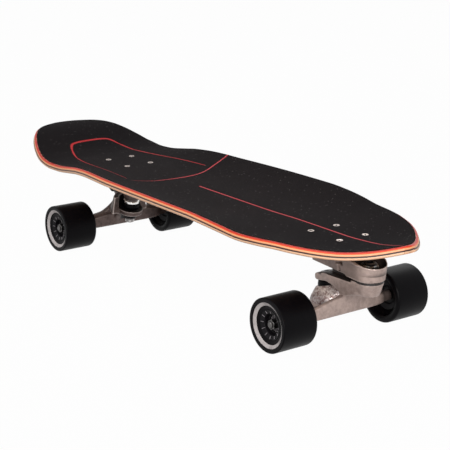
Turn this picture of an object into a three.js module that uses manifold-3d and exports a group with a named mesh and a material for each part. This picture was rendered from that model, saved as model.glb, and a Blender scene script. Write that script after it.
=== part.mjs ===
// Surf skateboard: a kicked and concave laminated deck on two cast trucks.
// The front truck hangs on a spring loaded arm that swings about a near vertical shaft.
// The rear truck is a plain kingpin truck on a thick riser.
//
// Millimetres, +Z up, +X towards the nose, +Y to the rider's left.
// The origin is on the ground under the middle of the deck.

import * as THREE from "three";
import { mergeVertices } from "three/addons/utils/BufferGeometryUtils.js";
import Module from "manifold-3d";

const wasm = await Module();
wasm.setup();

// Deck
const deckLength = 818;
const deckWidth = 242.6;
const deckThickness = 9.6;
const bellySag = 1.5;
const tailKickRise = 29;
const noseKickRise = 15.2;
const concaveDepth = 17;
const flatHalfWidth = 32;
const edgeRoundHeight = 2.6;
const gripInset = 2.2;
const gripThickness = 0.8;

// Truck places along the deck
const noseOverhang = 124.4;
const tailOverhang = 207.8;
const boltPatternLength = 54;
const boltPatternWidth = 41.3;
const frontAxleOffset = 9.2;
const rearAxleOffset = 26;

// Clearances
const seatGap = 0.3;
const cutOverrun = 3;

// Deck bolts
const boltShankRadius = 2.4;
const boltHoleClearance = 0.4;
const boltHeadRadius = 4.6;
const boltHeadHeight = 2.6;
const boltNutRadius = 5;
const boltNutHeight = 5;
const boltTailLength = 2;

// Wheels
const wheelDiameter = 69;
const wheelWidth = 51.3;
const wheelLipRound = 6.5;
const wheelRingOuterRadius = 28.6;
const wheelRingInnerRadius = 22.8;
const wheelRingDepth = 2.6;
const wheelDishDepth = 9;
const trackOuterWidth = 233.9;
const coreOuterRadius = 19;
const coreWidth = 32;
const coreFaceDepth = 2;
const coreHubRadius = 12.6;
const corePocketInnerRadius = 13.6;
const corePocketOuterRadius = 17.6;
const corePocketDepth = 5;
const coreWebHalfThickness = 4.7;
const coreWebRadius = 9;
const corePockets = 6;
const corePocketFill = 0.62;
const coreFacets = 14;
const wheelFacets = 24;

// Bearings, axles and axle nuts
const bearingRadius = 10.9;
const bearingWidth = 7;
const bearingSpacing = 10;
const axleRadius = 4;
const axleHoleClearance = 0.3;
const axleNutRadius = 6.8;
const axleNutHeight = 6.4;
const speedWasherRadius = 5.6;
const speedWasherThickness = 0.9;
const axleThreadTail = 1.6;

// Front baseplate
const basePlateHalfWidth = 27.5;
const basePlateThickness = 7;
const basePlateCorner = 8;
const frontPlateTail = 36.6;
const frontPlateNose = 39;
const bossOffset = 58.7;
const bossRadius = 22.2;
const bossFootRadius = 20;
const bossWall = 4.6;
const bossRimDrop = 10.5;
const bossRimTilt = 12;
const bossFloor = 7;
const baseBodyTail = 17;
const baseBodyHeight = 30.5;
const swingTilt = 3;
const nutPocketRadius = 6.6;

// Swing arm
const swingGap = 2.4;
const armHalfWidth = 22;
const armNoseTopRadius = 19.8;
const armNoseFootRadius = 16.2;
const armTailDraftShare = 0.35;
const armTailRadius = 17;
const armTailTopDrop = 15.2;
const armTailSlope = 25;
const armSeatThickness = 8;
const armBlockTail = 33.5;
const armBlockDrop = 27.4;
const armMidDrop = 20.4;
const armNoseDrop = 19.2;
const armArchStart = 7.5;
const shaftRadius = 8;
const shaftHeadRadius = 11;
const shaftHeadHeight = 3.4;
const swingNutRadius = 11.6;
const swingNutHeight = 7;
const shaftTail = 2.5;
const thrustOuterRadius = 18;
const thrustInnerRadius = 9;
const upperThrustRadius = 13;
const upperThrustThickness = 1.8;

// Return spring in the arm
const bayHalfWidth = 6.4;
const bayLength = 33;
const bayDepth = 11.6;
const springCoilRadius = 3.6;
const springWireRadius = 0.9;
const springTurns = 8;
const springTurnSteps = 6;
const plungerRadius = 3.9;
const plungerLength = 13;

// Front hanger, on a kingpin that leans towards the tail
const frontPinOffset = 17.1;
const frontPinRise = 32.5;
const seamRise = 20.2;
const frontPinTilt = 15;
const frontSteerAngle = 22.7;
const frontBushingTop = 1.8;
const frontBushingHeight = 12.4;
const frontBushingRadius = 14;
const frontSeatThickness = 10;
const frontLowerBushingHeight = 9.4;
const lowerBushingRadius = 10.4;
const lowerWasherRadius = 8.8;
const pinWallClearance = 1.7;
const frontBellRadius = 25.6;
const frontBellHeight = 25;
const kingpinRadius = 4.8;
const kingpinHoleClearance = 3;
const kingpinHeadRadius = 8.4;
const kingpinHeadHeight = 5;
const kingpinNutRadius = 8;
const kingpinNutHeight = 5.6;
const kingpinTail = 1.6;
const cupWasherThickness = 1.4;
const beamStubLength = 13;
const beamHalfDepth = 8.8;
const beamBevel = 2.2;
const beamEndLift = 1.6;
const beamLiftStart = 0.6;
const frontBeamDrop = 7.6;
const stubRadius = 7.4;
const frontWingHalfWidth = 8;
const nubRadius = 4.8;
const nubStart = 34;
const nubEnd = 54;
const pivotCupRadius = 7.7;
const pivotCupLength = 17;
const pivotCupFloor = 2.4;

// Rear riser and baseplate
const riserThickness = 12.7;
const rearPlateTail = 61;
const rearPlateNose = 39;
const rearPinOffset = 3.7;
const rearPinRise = 34.8;
const rearPinTilt = 12;
const rearSteerAngle = 28;
const rearBossTopRadius = 19;
const rearBossBottomRadius = 13;
const rearHousingHalfWidth = 12;

// Rear hanger
const rearBushingTop = 2.6;
const rearBushingHeight = 10.6;
const rearBushingRadius = 13.6;
const rearCupWasherRadius = 11.5;
const rearSeatThickness = 8;
const rearLowerBushingHeight = 7.4;
const rearPocketRadius = 19.4;
const rearLipRadius = 19;
const rearBowlTopRadius = 27.4;
const rearBowlFootRadius = 31;
const rearBowlNose = 24;
const rearBowlRise = 39.5;
const rearTowerRise = 42;
const rearWebHalfDepth = 5;
const rearBeamDrop = 8.6;

// Shares of the deck's half length, half width and heights, from tail to nose
const outlineShares = [
  [-1, 0], [-0.981, 0.221], [-0.93, 0.498], [-0.843, 0.691],
  [-0.7255, 0.823], [-0.586, 0.85], [-0.4216, 0.895], [-0.246, 0.949],
  [0.037, 0.99], [0.27, 1], [0.404, 0.995], [0.488, 0.978],
  [0.569, 0.945], [0.645, 0.894], [0.713, 0.826], [0.777, 0.743],
  [0.833, 0.636], [0.882, 0.501], [0.924, 0.362], [0.955, 0.241],
  [0.982, 0.125], [0.996, 0.05], [1, 0],
];
const tailRiseShares = [
  [-1, 0.97], [-0.98, 0.997], [-0.958, 1], [-0.929, 0.962], [-0.89, 0.852],
  [-0.843, 0.652], [-0.789, 0.39], [-0.725, 0.131], [-0.642, 0], [1, 0],
];
const noseRiseShares = [
  [-1, 0], [0.735, 0], [0.8, 0.07], [0.872, 0.217], [0.924, 0.44],
  [0.956, 0.625], [0.98, 0.816], [1, 1],
];
const bellySagShares = [
  [-1, 0], [-0.36, 0], [-0.15, 1], [0.32, 1], [0.54, 0], [1, 0],
];
const concaveShares = [
  [-1, 0], [-0.66, 0], [-0.586, 0.1], [-0.505, 0.48], [-0.42, 0.86],
  [-0.333, 0.98], [-0.245, 1], [0.32, 1], [0.404, 0.89], [0.488, 0.7],
  [0.569, 0.52], [0.645, 0.62], [0.713, 0.8], [0.777, 0.87], [1, 0.87],
];
const deckColumnShares = [0.5];
const deckRows = 27;
const slopeStep = 0.5;

// The hangers' top lines, as shares of the half length and millimetres above the axle,
// and the bell's outline, as shares of its radius and of its height from the top
const frontBeamShares = [
  [0, 17.6], [0.26, 15.2], [0.47, 12.4], [0.73, 8.8], [1, 6.6],
];
const rearBeamShares = [
  [0, 12.5], [0.44, 11.2], [0.77, 9], [1, 6.6],
];
const rearWebShares = [
  [0, 41.6], [0.13, 41], [0.177, 31.7], [0.235, 26.7], [0.417, 18.1], [0.555, 14],
  [0.74, 12], [1, 8],
];
const frontBellShares = [
  [0.46, 0], [0.56, 0.04], [0.67, 0.12], [0.8, 0.28], [0.92, 0.5], [1, 0.8], [1, 1],
];

// Worked out places
const axleHeight = wheelDiameter / 2;
const frontPinHeight = axleHeight + frontPinRise;
const rearPinHeight = axleHeight + rearPinRise;
const seamHeight = frontPinHeight + seamRise;
const frontPlateTop = seamHeight + baseBodyHeight;
const frontPlateBottom = frontPlateTop - basePlateThickness;
const deckUnderHeight = frontPlateTop + seatGap;
const deckTopHeight = deckUnderHeight + deckThickness;
const frontX = deckLength / 2 - noseOverhang;
const rearX = tailOverhang - deckLength / 2;
const frontAxleX = frontX + frontAxleOffset;
const rearAxleX = rearX - rearAxleOffset;
const wheelCentreY = trackOuterWidth / 2 - wheelWidth / 2;
const bearingPackHalf = bearingSpacing / 2 + bearingWidth;
const hangerHalfLength = wheelCentreY - bearingPackHalf - seatGap;
const hangerBeamEnd = hangerHalfLength - beamStubLength;
const rearPlateTop = deckUnderHeight - riserThickness - 2 * seatGap;
const rearPlateBottom = rearPlateTop - basePlateThickness;
const bossRimHeight = frontPlateTop - bossRimDrop;
const armTailTopHeight = seamHeight - armTailTopDrop;
const armBlockBottomHeight = seamHeight - armBlockDrop;
const armMidBottomHeight = seamHeight - armMidDrop;
const armNoseBottomHeight = seamHeight - armNoseDrop;
const swingX = frontX + bossOffset;
const baseTailX = frontX - baseBodyTail;
const degree = Math.PI / 180;

// Meshes, materials and solids

const materials = {
  wood: new THREE.MeshStandardMaterial({ color: 0xd9a06c, roughness: 0.5 }),
  grip: new THREE.MeshStandardMaterial({ color: 0x1e1c1d, roughness: 0.95 }),
  casting: new THREE.MeshStandardMaterial({ color: 0xa5948c, roughness: 0.45, metalness: 0.9 }),
  steel: new THREE.MeshStandardMaterial({ color: 0xc8c6c2, roughness: 0.25, metalness: 1 }),
  black_steel: new THREE.MeshStandardMaterial({ color: 0x1a1a1c, roughness: 0.3, metalness: 0.9 }),
  urethane: new THREE.MeshStandardMaterial({ color: 0x0c0b0d, roughness: 0.35 }),
  core: new THREE.MeshStandardMaterial({ color: 0x2c2c30, roughness: 0.5 }),
  bushing: new THREE.MeshStandardMaterial({ color: 0x101012, roughness: 0.45 }),
  riser: new THREE.MeshStandardMaterial({ color: 0x121214, roughness: 0.7 }),
};

const board = new THREE.Group();

function place(name, solidOrGeometry, material) {
  const geometry = solidOrGeometry.isBufferGeometry
    ? solidOrGeometry
    : geometryOf(solidOrGeometry);
  const mesh = new THREE.Mesh(geometry, materials[material]);
  mesh.name = name;
  board.add(mesh);
}

function solidOf(geometry) {
  const bare = geometry.index ? geometry.toNonIndexed() : geometry.clone();
  bare.deleteAttribute("normal");
  bare.deleteAttribute("uv");
  const merged = mergeVertices(bare);
  return new wasm.Manifold(new wasm.Mesh({
    numProp: 3,
    vertProperties: merged.attributes.position.array,
    triVerts: new Uint32Array(merged.index.array),
  }));
}

function geometryOf(solid) {
  const mesh = solid.getMesh();
  const geometry = new THREE.BufferGeometry();
  geometry.setAttribute("position", new THREE.BufferAttribute(mesh.vertProperties, 3));
  geometry.setIndex(new THREE.BufferAttribute(mesh.triVerts, 1));
  return geometry;
}

function joined(...solids) {
  return solids.reduce((a, b) => a.add(b));
}

function cut(solid, ...tools) {
  return tools.reduce((a, b) => a.subtract(b), solid);
}

// Smooth height along a table of [place, value] rows, with flat runs kept flat
function along(table, x) {
  let i = 0;
  while (i < table.length - 2 && x > table[i + 1][0]) i += 1;
  const slope = (k) => (table[k + 1][1] - table[k][1]) / (table[k + 1][0] - table[k][0]);
  const tangent = (k) => {
    if (k === 0) return slope(0);
    if (k === table.length - 1) return slope(k - 1);
    const before = slope(k - 1);
    const after = slope(k);
    return before * after <= 0 ? 0 : (2 * before * after) / (before + after);
  };
  const span = table[i + 1][0] - table[i][0];
  const t = Math.min(1, Math.max(0, (x - table[i][0]) / span));
  const [t2, t3] = [t * t, t * t * t];
  return (2 * t3 - 3 * t2 + 1) * table[i][1] + (t3 - 2 * t2 + t) * span * tangent(i)
    + (3 * t2 - 2 * t3) * table[i + 1][1] + (t3 - t2) * span * tangent(i + 1);
}

function outlineShape(points) {
  return new THREE.Shape(points.map(([a, b]) => new THREE.Vector2(a, b)));
}

// A flat outline pushed along one axis: side outlines are (x, z), front ones (y, z), plans (x, y)
const basis = {
  side: new THREE.Matrix4().makeBasis(
    new THREE.Vector3(1, 0, 0), new THREE.Vector3(0, 0, 1), new THREE.Vector3(0, -1, 0)),
  front: new THREE.Matrix4().makeBasis(
    new THREE.Vector3(0, 1, 0), new THREE.Vector3(0, 0, 1), new THREE.Vector3(1, 0, 0)),
  plan: new THREE.Matrix4(),
};

function slab(kind, shape, from, to, curveSegments = 8) {
  const geometry = new THREE.ExtrudeGeometry(shape, {
    depth: to - from,
    bevelEnabled: false,
    curveSegments,
  });
  geometry.translate(0, 0, from);
  geometry.applyMatrix4(basis[kind]);
  return solidOf(geometry);
}

// A turned solid about the Z axis from [radius, height] rows that close on themselves
function turned(rows, facets = 24) {
  const next = (i) => rows[(i + 1) % rows.length];
  const turn = rows.reduce((sum, [r, h], i) => sum + r * next(i)[1] - next(i)[0] * h, 0);
  const ordered = turn > 0 ? rows : [...rows].reverse();
  const points = [...ordered, ordered[0]].map(([r, h]) => new THREE.Vector2(r, h));
  const geometry = new THREE.LatheGeometry(points, facets);
  geometry.rotateX(Math.PI / 2);
  return solidOf(geometry);
}

function rod(radius, from, to, facets = 20) {
  return turned([[0, from], [radius, from], [radius, to], [0, to]], facets);
}

function tube(outer, inner, from, to, facets = 24) {
  return turned([[inner, from], [outer, from], [outer, to], [inner, to]], facets);
}

// A hexagon nut with a round bore
function hexNut(radius, bore, from, to) {
  return rod(radius, from, to, 6).subtract(rod(bore, from - cutOverrun, to + cutOverrun, 12));
}

// Puts a solid that was made about the Z axis onto an axis in the XZ plane
function onAxis(solid, axis) {
  return solid
    .rotate([0, axis.tilt, 0])
    .translate([axis.x, 0, axis.z]);
}

function onWheelAxis(solid, x, y, side) {
  return solid
    .rotate([-90 * side, 0, 0])
    .translate([x, y, axleHeight]);
}

// Deck and grip share one grid, so that the grip lies on the deck face to face

function deckTop(x, y) {
  const share = x / (deckLength / 2);
  const reach = Math.max(0, Math.abs(y) - flatHalfWidth) / (deckWidth / 2 - flatHalfWidth);
  return deckTopHeight
    + tailKickRise * along(tailRiseShares, share)
    + noseKickRise * along(noseRiseShares, share)
    - bellySag * along(bellySagShares, share)
    + concaveDepth * along(concaveShares, share) * reach * reach;
}

// The unit normal of the deck's top face
function deckNormal(x, y) {
  const slopeX = (deckTop(x + slopeStep, y) - deckTop(x - slopeStep, y)) / (2 * slopeStep);
  const slopeY = (deckTop(x, y + slopeStep) - deckTop(x, y - slopeStep)) / (2 * slopeStep);
  return new THREE.Vector3(-slopeX, -slopeY, 1).normalize();
}

const outlineCurve = new THREE.CatmullRomCurve3(
  [...outlineShares, ...outlineShares.slice(1, -1).reverse().map(([a, b]) => [a, -b])]
    .map(([a, b]) => new THREE.Vector3(a * deckLength / 2, b * deckWidth / 2, 0)),
  true,
  "centripetal",
);

// The edge point of one row, moved in from the outline by an inset
function edgePoint(row, inset) {
  const share = row / deckRows;
  const place = (share + (1 - Math.cos(Math.PI * share)) / 2) / 2;
  const at = outlineCurve.getPointAt(place / 2);
  const run = outlineCurve.getTangentAt(place / 2);
  if (row === 0) return [at.x + inset, 0];
  if (row === deckRows) return [at.x - inset, 0];
  return [at.x + run.y * inset, at.y - run.x * inset];
}

function rowColumns(row, inset) {
  const [x, half] = edgePoint(row, inset);
  const flat = Math.min(flatHalfWidth, half / 2);
  const side = [flat, ...deckColumnShares.map((s) => flat + (half - flat) * s), half];
  return [...side.slice().reverse().map((y) => [x, -y]), [x, 0], ...side.map((y) => [x, y])];
}

// A closed sheet from rings that run over the top, down the edge and under the bottom
function sheet(topInset, lift, rings) {
  const positions = [];
  const index = [];
  let count = 0;
  const add = (x, y, height) => {
    const point = new THREE.Vector3(x, y, deckTop(x, y)).addScaledVector(deckNormal(x, y), height);
    positions.push(...point.toArray());
    count += 1;
    return count - 1;
  };
  const tip = (row, inset, height) => add(edgePoint(row, inset)[0], 0, height);
  const grid = (inset, height) => {
    const rows = [];
    for (let row = 1; row < deckRows; row += 1) {
      rows.push(rowColumns(row, inset).map(([x, y]) => add(x, y, height)));
    }
    return { tail: tip(0, inset, height), nose: tip(deckRows, inset, height), rows };
  };
  const face = (g, up) => {
    const triangle = (a, b, c) => index.push(...(up ? [a, b, c] : [a, c, b]));
    const columns = g.rows[0].length;
    for (let k = 0; k < columns - 1; k += 1) {
      triangle(g.tail, g.rows[0][k], g.rows[0][k + 1]);
      triangle(g.nose, g.rows[deckRows - 2][k + 1], g.rows[deckRows - 2][k]);
      for (let r = 0; r < deckRows - 2; r += 1) {
        triangle(g.rows[r][k], g.rows[r + 1][k], g.rows[r + 1][k + 1]);
        triangle(g.rows[r][k], g.rows[r + 1][k + 1], g.rows[r][k + 1]);
      }
    }
  };
  const rim = (g) => {
    const last = g.rows[0].length - 1;
    const left = g.rows.map((r) => r[last]);
    const right = g.rows.map((r) => r[0]).reverse();
    return [g.tail, ...left, g.nose, ...right];
  };
  const ring = (inset, height) => {
    const loop = [];
    const rowsOut = [...Array(deckRows + 1).keys()];
    for (const row of rowsOut) {
      const [x, y] = edgePoint(row, inset);
      loop.push(add(x, y, height));
    }
    for (const row of rowsOut.slice(1, -1).reverse()) {
      const [x, y] = edgePoint(row, inset);
      loop.push(add(x, -y, height));
    }
    return loop;
  };
  const top = grid(topInset, lift);
  const bottom = grid(rings.bottomInset, rings.bottomHeight);
  face(top, true);
  face(bottom, false);
  const loops = [rim(top), ...rings.edges.map(([inset, height]) => ring(inset, height)), rim(bottom)];
  for (let k = 0; k < loops.length - 1; k += 1) {
    const [a, b] = [loops[k], loops[k + 1]];
    for (let i = 0; i < a.length; i += 1) {
      const j = (i + 1) % a.length;
      index.push(a[i], a[j], b[j], a[i], b[j], b[i]);
    }
  }
  const geometry = new THREE.BufferGeometry();
  geometry.setAttribute("position", new THREE.Float32BufferAttribute(positions, 3));
  geometry.setIndex(index);
  return solidOf(geometry);
}

function boltPlaces(centreX) {
  const places = [];
  for (const end of [-1, 1]) {
    for (const hand of [-1, 1]) {
      places.push([centreX + end * boltPatternLength / 2, hand * boltPatternWidth / 2]);
    }
  }
  return places;
}

const gripTopHeight = deckTopHeight + gripThickness;

// The hole that a countersunk bolt needs, from above the grip to below everything
function boltHole() {
  const reach = deckTopHeight;
  const neck = boltShankRadius + boltHoleClearance;
  const mouth = boltHeadRadius + boltHoleClearance;
  return turned([
    [0, -reach], [neck, -reach], [neck, -boltHeadHeight], [mouth, 0],
    [mouth, cutOverrun], [0, cutOverrun],
  ], 8);
}

function cutBoltHoles(solid) {
  const hole = boltHole();
  const places = [...boltPlaces(frontX), ...boltPlaces(rearX)];
  return places.reduce((s, [x, y]) => s.subtract(hole.translate([x, y, gripTopHeight])), solid);
}

function makeDeck() {
  const deck = sheet(gripInset, 0, {
    edges: [
      [0, -edgeRoundHeight],
      [0, edgeRoundHeight - deckThickness],
    ],
    bottomInset: gripInset,
    bottomHeight: -deckThickness,
  });
  const grip = sheet(gripInset, gripThickness, {
    edges: [],
    bottomInset: gripInset,
    bottomHeight: 0,
  });
  place("deck", cutBoltHoles(deck), "wood");
  place("grip", cutBoltHoles(grip), "grip");
}

function makeDeckBolts() {
  const trucks = [
    ["front", frontX, frontPlateBottom],
    ["rear", rearX, rearPlateBottom],
  ];
  for (const [name, centreX, plateBottom] of trucks) {
    const nutTop = plateBottom - seatGap - gripTopHeight;
    const nutBottom = nutTop - boltNutHeight;
    const bolt = turned([
      [0, 0], [boltHeadRadius, 0], [boltShankRadius, -boltHeadHeight], [boltShankRadius, nutTop],
      [boltNutRadius, nutTop], [boltNutRadius, nutBottom], [boltShankRadius, nutBottom],
      [boltShankRadius, nutBottom - boltTailLength], [0, nutBottom - boltTailLength],
    ], 6);
    boltPlaces(centreX).forEach(([x, y], i) => {
      place(`deck_bolt_${name}_${i + 1}`, bolt.translate([x, y, gripTopHeight]), "steel");
    });
  }
}

// A plate outline with round corners
function roundPlate(tailX, noseX, halfWidth, corner) {
  const shape = new THREE.Shape();
  shape.moveTo(tailX + corner, -halfWidth);
  shape.lineTo(noseX - corner, -halfWidth);
  shape.absarc(noseX - corner, corner - halfWidth, corner, -Math.PI / 2, 0);
  shape.lineTo(noseX, halfWidth - corner);
  shape.absarc(noseX - corner, halfWidth - corner, corner, 0, Math.PI / 2);
  shape.lineTo(tailX + corner, halfWidth);
  shape.absarc(tailX + corner, halfWidth - corner, corner, Math.PI / 2, Math.PI);
  shape.lineTo(tailX, corner - halfWidth);
  shape.absarc(tailX + corner, corner - halfWidth, corner, Math.PI, 1.5 * Math.PI);
  return shape;
}

function cutPlateHoles(solid, centreX) {
  const hole = rod(boltShankRadius + boltHoleClearance, -deckTopHeight, deckTopHeight, 8);
  return boltPlaces(centreX).reduce((s, [x, y]) => s.subtract(hole.translate([x, y, 0])), solid);
}

// Axes in the XZ plane: tilt is the lean of the axis from upright towards the nose, in degrees
const swingAxis = { x: swingX, z: seamHeight, tilt: swingTilt };
const frontPinAxis = { x: frontX - frontPinOffset, z: frontPinHeight, tilt: -frontPinTilt };
const rearPinAxis = { x: rearX + rearPinOffset, z: rearPinHeight, tilt: rearPinTilt };

function downAxis(axis, distance) {
  const lean = axis.tilt * degree;
  return { x: axis.x - Math.sin(lean) * distance, z: axis.z - Math.cos(lean) * distance };
}

const frontSeatTop = frontBushingTop + frontBushingHeight + seatGap;
const rearSeatTop = rearBushingTop + rearBushingHeight + seatGap;
const frontRing = downAxis(frontPinAxis, frontSeatTop + frontSeatThickness / 2);
const rearRing = downAxis(rearPinAxis, rearSeatTop + rearSeatThickness / 2);
const frontSteerAxis = { ...frontRing, tilt: 90 - frontSteerAngle };
const rearSteerAxis = { ...rearRing, tilt: rearSteerAngle - 90 };

// Height of the seam plane between the baseplate and the arm
function seamAt(x, drop = 0) {
  return seamHeight - drop - Math.tan(swingTilt * degree) * (x - swingX);
}

// A plan pushed up between two heights and narrowed towards the ground, as a casting's draft does:
// the boss end by the radii at two heights, the tail end by a share of that
function drafted(plan, from, to, { top, foot, tailShare }) {
  const rate = (top[1] - foot[1]) / (top[0] - foot[0]);
  return slab("plan", plan, from, to, 9).warp((v) => {
    const share = 1 + rate * (v[2] - top[0]) / top[1];
    const boss = v[0] > swingX - slopeStep;
    v[1] *= boss ? share : 1 - tailShare * (1 - share);
    if (boss) v[0] = swingX + (v[0] - swingX) * share;
  });
}

function bossPlan(tailX, radius, halfWidth, tailRound) {
  const shape = new THREE.Shape();
  shape.moveTo(tailX + tailRound, -halfWidth);
  shape.lineTo(swingX, -radius);
  shape.absarc(swingX, 0, radius, -Math.PI / 2, Math.PI / 2);
  shape.lineTo(tailX + tailRound, halfWidth);
  shape.absarc(tailX + tailRound, halfWidth - tailRound, tailRound, Math.PI / 2, Math.PI);
  shape.lineTo(tailX, tailRound - halfWidth);
  shape.absarc(tailX + tailRound, tailRound - halfWidth, tailRound, Math.PI, 1.5 * Math.PI);
  return shape;
}

function makeFrontBase() {
  const plate = slab("plan",
    roundPlate(frontX - frontPlateTail, frontX + frontPlateNose, basePlateHalfWidth, basePlateCorner),
    frontPlateBottom, frontPlateTop, 4);
  const rimAt = (x) => bossRimHeight - Math.tan(bossRimTilt * degree) * (x - swingX);
  const noseX = swingX + bossRadius;
  const plateNoseX = frontX + frontPlateNose;
  const bodySide = slab("side", outlineShape([
    [baseTailX, seamAt(baseTailX)],
    [noseX, seamAt(noseX)],
    [noseX, rimAt(noseX)],
    [plateNoseX, Math.min(rimAt(plateNoseX), frontPlateTop)],
    [plateNoseX, frontPlateBottom + basePlateThickness / 2],
    [baseTailX - basePlateThickness, frontPlateBottom + basePlateThickness / 2],
    [baseTailX, frontPlateBottom - basePlateThickness],
  ]), -basePlateHalfWidth, basePlateHalfWidth);
  const bodyPlan = bossPlan(baseTailX - basePlateThickness, bossRadius, bossRadius, basePlateCorner);
  const bodyFloor = seamHeight - cutOverrun;
  const body = bodySide.intersect(drafted(bodyPlan, bodyFloor, frontPlateTop, {
    top: [bossRimHeight, bossRadius],
    foot: [seamHeight, bossFootRadius],
    tailShare: 1,
  }));
  const floorHeight = bossFloor - seatGap;
  const hollow = onAxis(rod(bossRadius - bossWall, floorHeight, deckTopHeight, 20), swingAxis);
  const bore = onAxis(rod(shaftRadius + seatGap, -deckTopHeight, deckTopHeight, 16), swingAxis);
  const pocketTop = frontPlateBottom;
  const pocket = rod(nutPocketRadius, pocketTop - basePlateThickness - boltNutHeight, pocketTop, 10);
  const pockets = boltPlaces(frontX).map(([x, y]) => pocket.translate([x, y, 0]));
  const solid = cut(joined(plate, body), hollow, bore, ...pockets);
  place("front_baseplate", cutPlateHoles(solid, frontX), "casting");
}

function makeSwingShaft() {
  const armBottom = armNoseBottomHeight - seamHeight;
  const headTop = armBottom + shaftHeadHeight;
  const floorTop = bossFloor + upperThrustThickness + 2 * seatGap;
  const nutTop = floorTop + swingNutHeight;
  const shaft = turned([
    [0, armBottom - seatGap], [shaftHeadRadius, armBottom - seatGap], [shaftHeadRadius, headTop],
    [shaftRadius, headTop], [shaftRadius, nutTop + shaftTail], [0, nutTop + shaftTail],
  ], 20);
  place("swing_shaft", onAxis(shaft, swingAxis), "black_steel");
  place("swing_nut", onAxis(hexNut(swingNutRadius, shaftRadius + seatGap, floorTop, nutTop),
    swingAxis), "black_steel");
  place("swing_thrust_washer", onAxis(
    tube(upperThrustRadius, thrustInnerRadius, bossFloor, bossFloor + upperThrustThickness, 14),
    swingAxis), "steel");
  place("swing_thrust_bearing", onAxis(
    tube(thrustOuterRadius, thrustInnerRadius, seatGap - swingGap, -seatGap, 18),
    swingAxis), "black_steel");
}

// The arm's side outline: level behind the boss, falling to a slab that holds the kingpin
function armSide() {
  const pin = frontPinAxis;
  const tailX = pin.x - armTailRadius;
  const slabRise = Math.tan(armTailSlope * degree);
  const seatSlope = Math.tan(frontPinTilt * degree);
  const seatAt = (x) => pin.z + seatSlope * (x - pin.x);
  const topAt = (x) => armTailTopHeight + slabRise * (x - tailX - armTailRadius / 2);
  const levelTop = seamHeight - swingGap;
  const kneeX = tailX + armTailRadius / 2 + (levelTop - armTailTopHeight) / slabRise + armTailRadius / 4;
  const noseX = swingX + armNoseTopRadius;
  const blockX = frontX + armBlockTail;
  const archX = frontX + armArchStart;
  const archMidX = (archX + blockX) / 2;
  return [
    [tailX, seatAt(tailX)],
    [archX, seatAt(archX)],
    [archMidX, seatAt(archX) - armSeatThickness / 3],
    [(archMidX + blockX) / 2, (seatAt(archX) + armBlockBottomHeight) / 2],
    [blockX, armBlockBottomHeight],
    [swingX, armMidBottomHeight],
    [noseX, armNoseBottomHeight],
    [noseX, seamAt(noseX, swingGap)],
    [kneeX, seamAt(kneeX, swingGap)],
    [tailX + armTailRadius / 2, armTailTopHeight],
    [tailX, armTailTopHeight - armSeatThickness / 3],
  ];
}

function makeFrontArm() {
  const side = slab("side", outlineShape(armSide()), -basePlateHalfWidth, basePlateHalfWidth);
  const pin = frontPinAxis;
  const plan = new THREE.Shape();
  plan.moveTo(pin.x, -armTailRadius);
  plan.lineTo(frontX + armArchStart, -armHalfWidth);
  plan.lineTo(swingX, -armNoseTopRadius);
  plan.absarc(swingX, 0, armNoseTopRadius, -Math.PI / 2, Math.PI / 2);
  plan.lineTo(frontX + armArchStart, armHalfWidth);
  plan.lineTo(pin.x, armTailRadius);
  plan.absarc(pin.x, 0, armTailRadius, Math.PI / 2, 1.5 * Math.PI);
  const armFloor = armBlockBottomHeight - cutOverrun;
  const body = side.intersect(drafted(plan, armFloor, seamHeight + cutOverrun, {
    top: [seamHeight - swingGap, armNoseTopRadius],
    foot: [armNoseBottomHeight, armNoseFootRadius],
    tailShare: armTailDraftShare,
  }));
  const headTop = armNoseBottomHeight - seamHeight + shaftHeadHeight + seatGap;
  const bore = onAxis(joined(
    rod(shaftRadius + seatGap, -seamHeight, seamHeight, 20),
    rod(shaftHeadRadius + seatGap, -seamHeight, headTop, 20),
  ), swingAxis);
  const pinBore = onAxis(joined(
    rod(kingpinRadius + seatGap, -frontPinHeight, frontPinHeight, 16),
    rod(kingpinHeadRadius + seatGap, armSeatThickness - kingpinHeadHeight, frontPinHeight, 16),
  ), frontPinAxis);
  const cup = onAxis(rod(pivotCupRadius + seatGap, nubStart, nubStart + 2 * seatGap + cupSpan(), 20),
    frontSteerAxis);
  const bayTop = seamAt(springStartX(), swingGap);
  const bay = slab("plan", roundPlate(springStartX(), springStartX() + bayLength, bayHalfWidth,
    bayHalfWidth / 2), bayTop - bayDepth, bayTop + cutOverrun, 3);
  const channel = plungerAt(rod(plungerRadius + seatGap, 0, swingX - springEndX(), 16));
  place("front_arm", cut(body, bore, pinBore, cup, bay, channel), "casting");
}

function cupSpan() {
  return nubEnd + pivotCupFloor - nubStart;
}

function springStartX() {
  return frontX + armArchStart - bayHalfWidth;
}

function springEndX() {
  return springStartX() + bayLength - plungerLength / 2;
}

function springHeight() {
  return seamAt(springStartX(), swingGap) - bayDepth + seatGap + springCoilRadius + springWireRadius;
}

function plungerAt(solid) {
  return solid.rotate([0, 90, 0]).translate([springEndX(), 0, springHeight()]);
}

class Helix extends THREE.Curve {
  constructor(radius, length, turns) {
    super();
    Object.assign(this, { radius, length, turns });
  }

  getPoint(t, target = new THREE.Vector3()) {
    const angle = 2 * Math.PI * this.turns * t;
    return target.set(this.length * t, this.radius * Math.cos(angle), this.radius * Math.sin(angle));
  }
}

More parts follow.
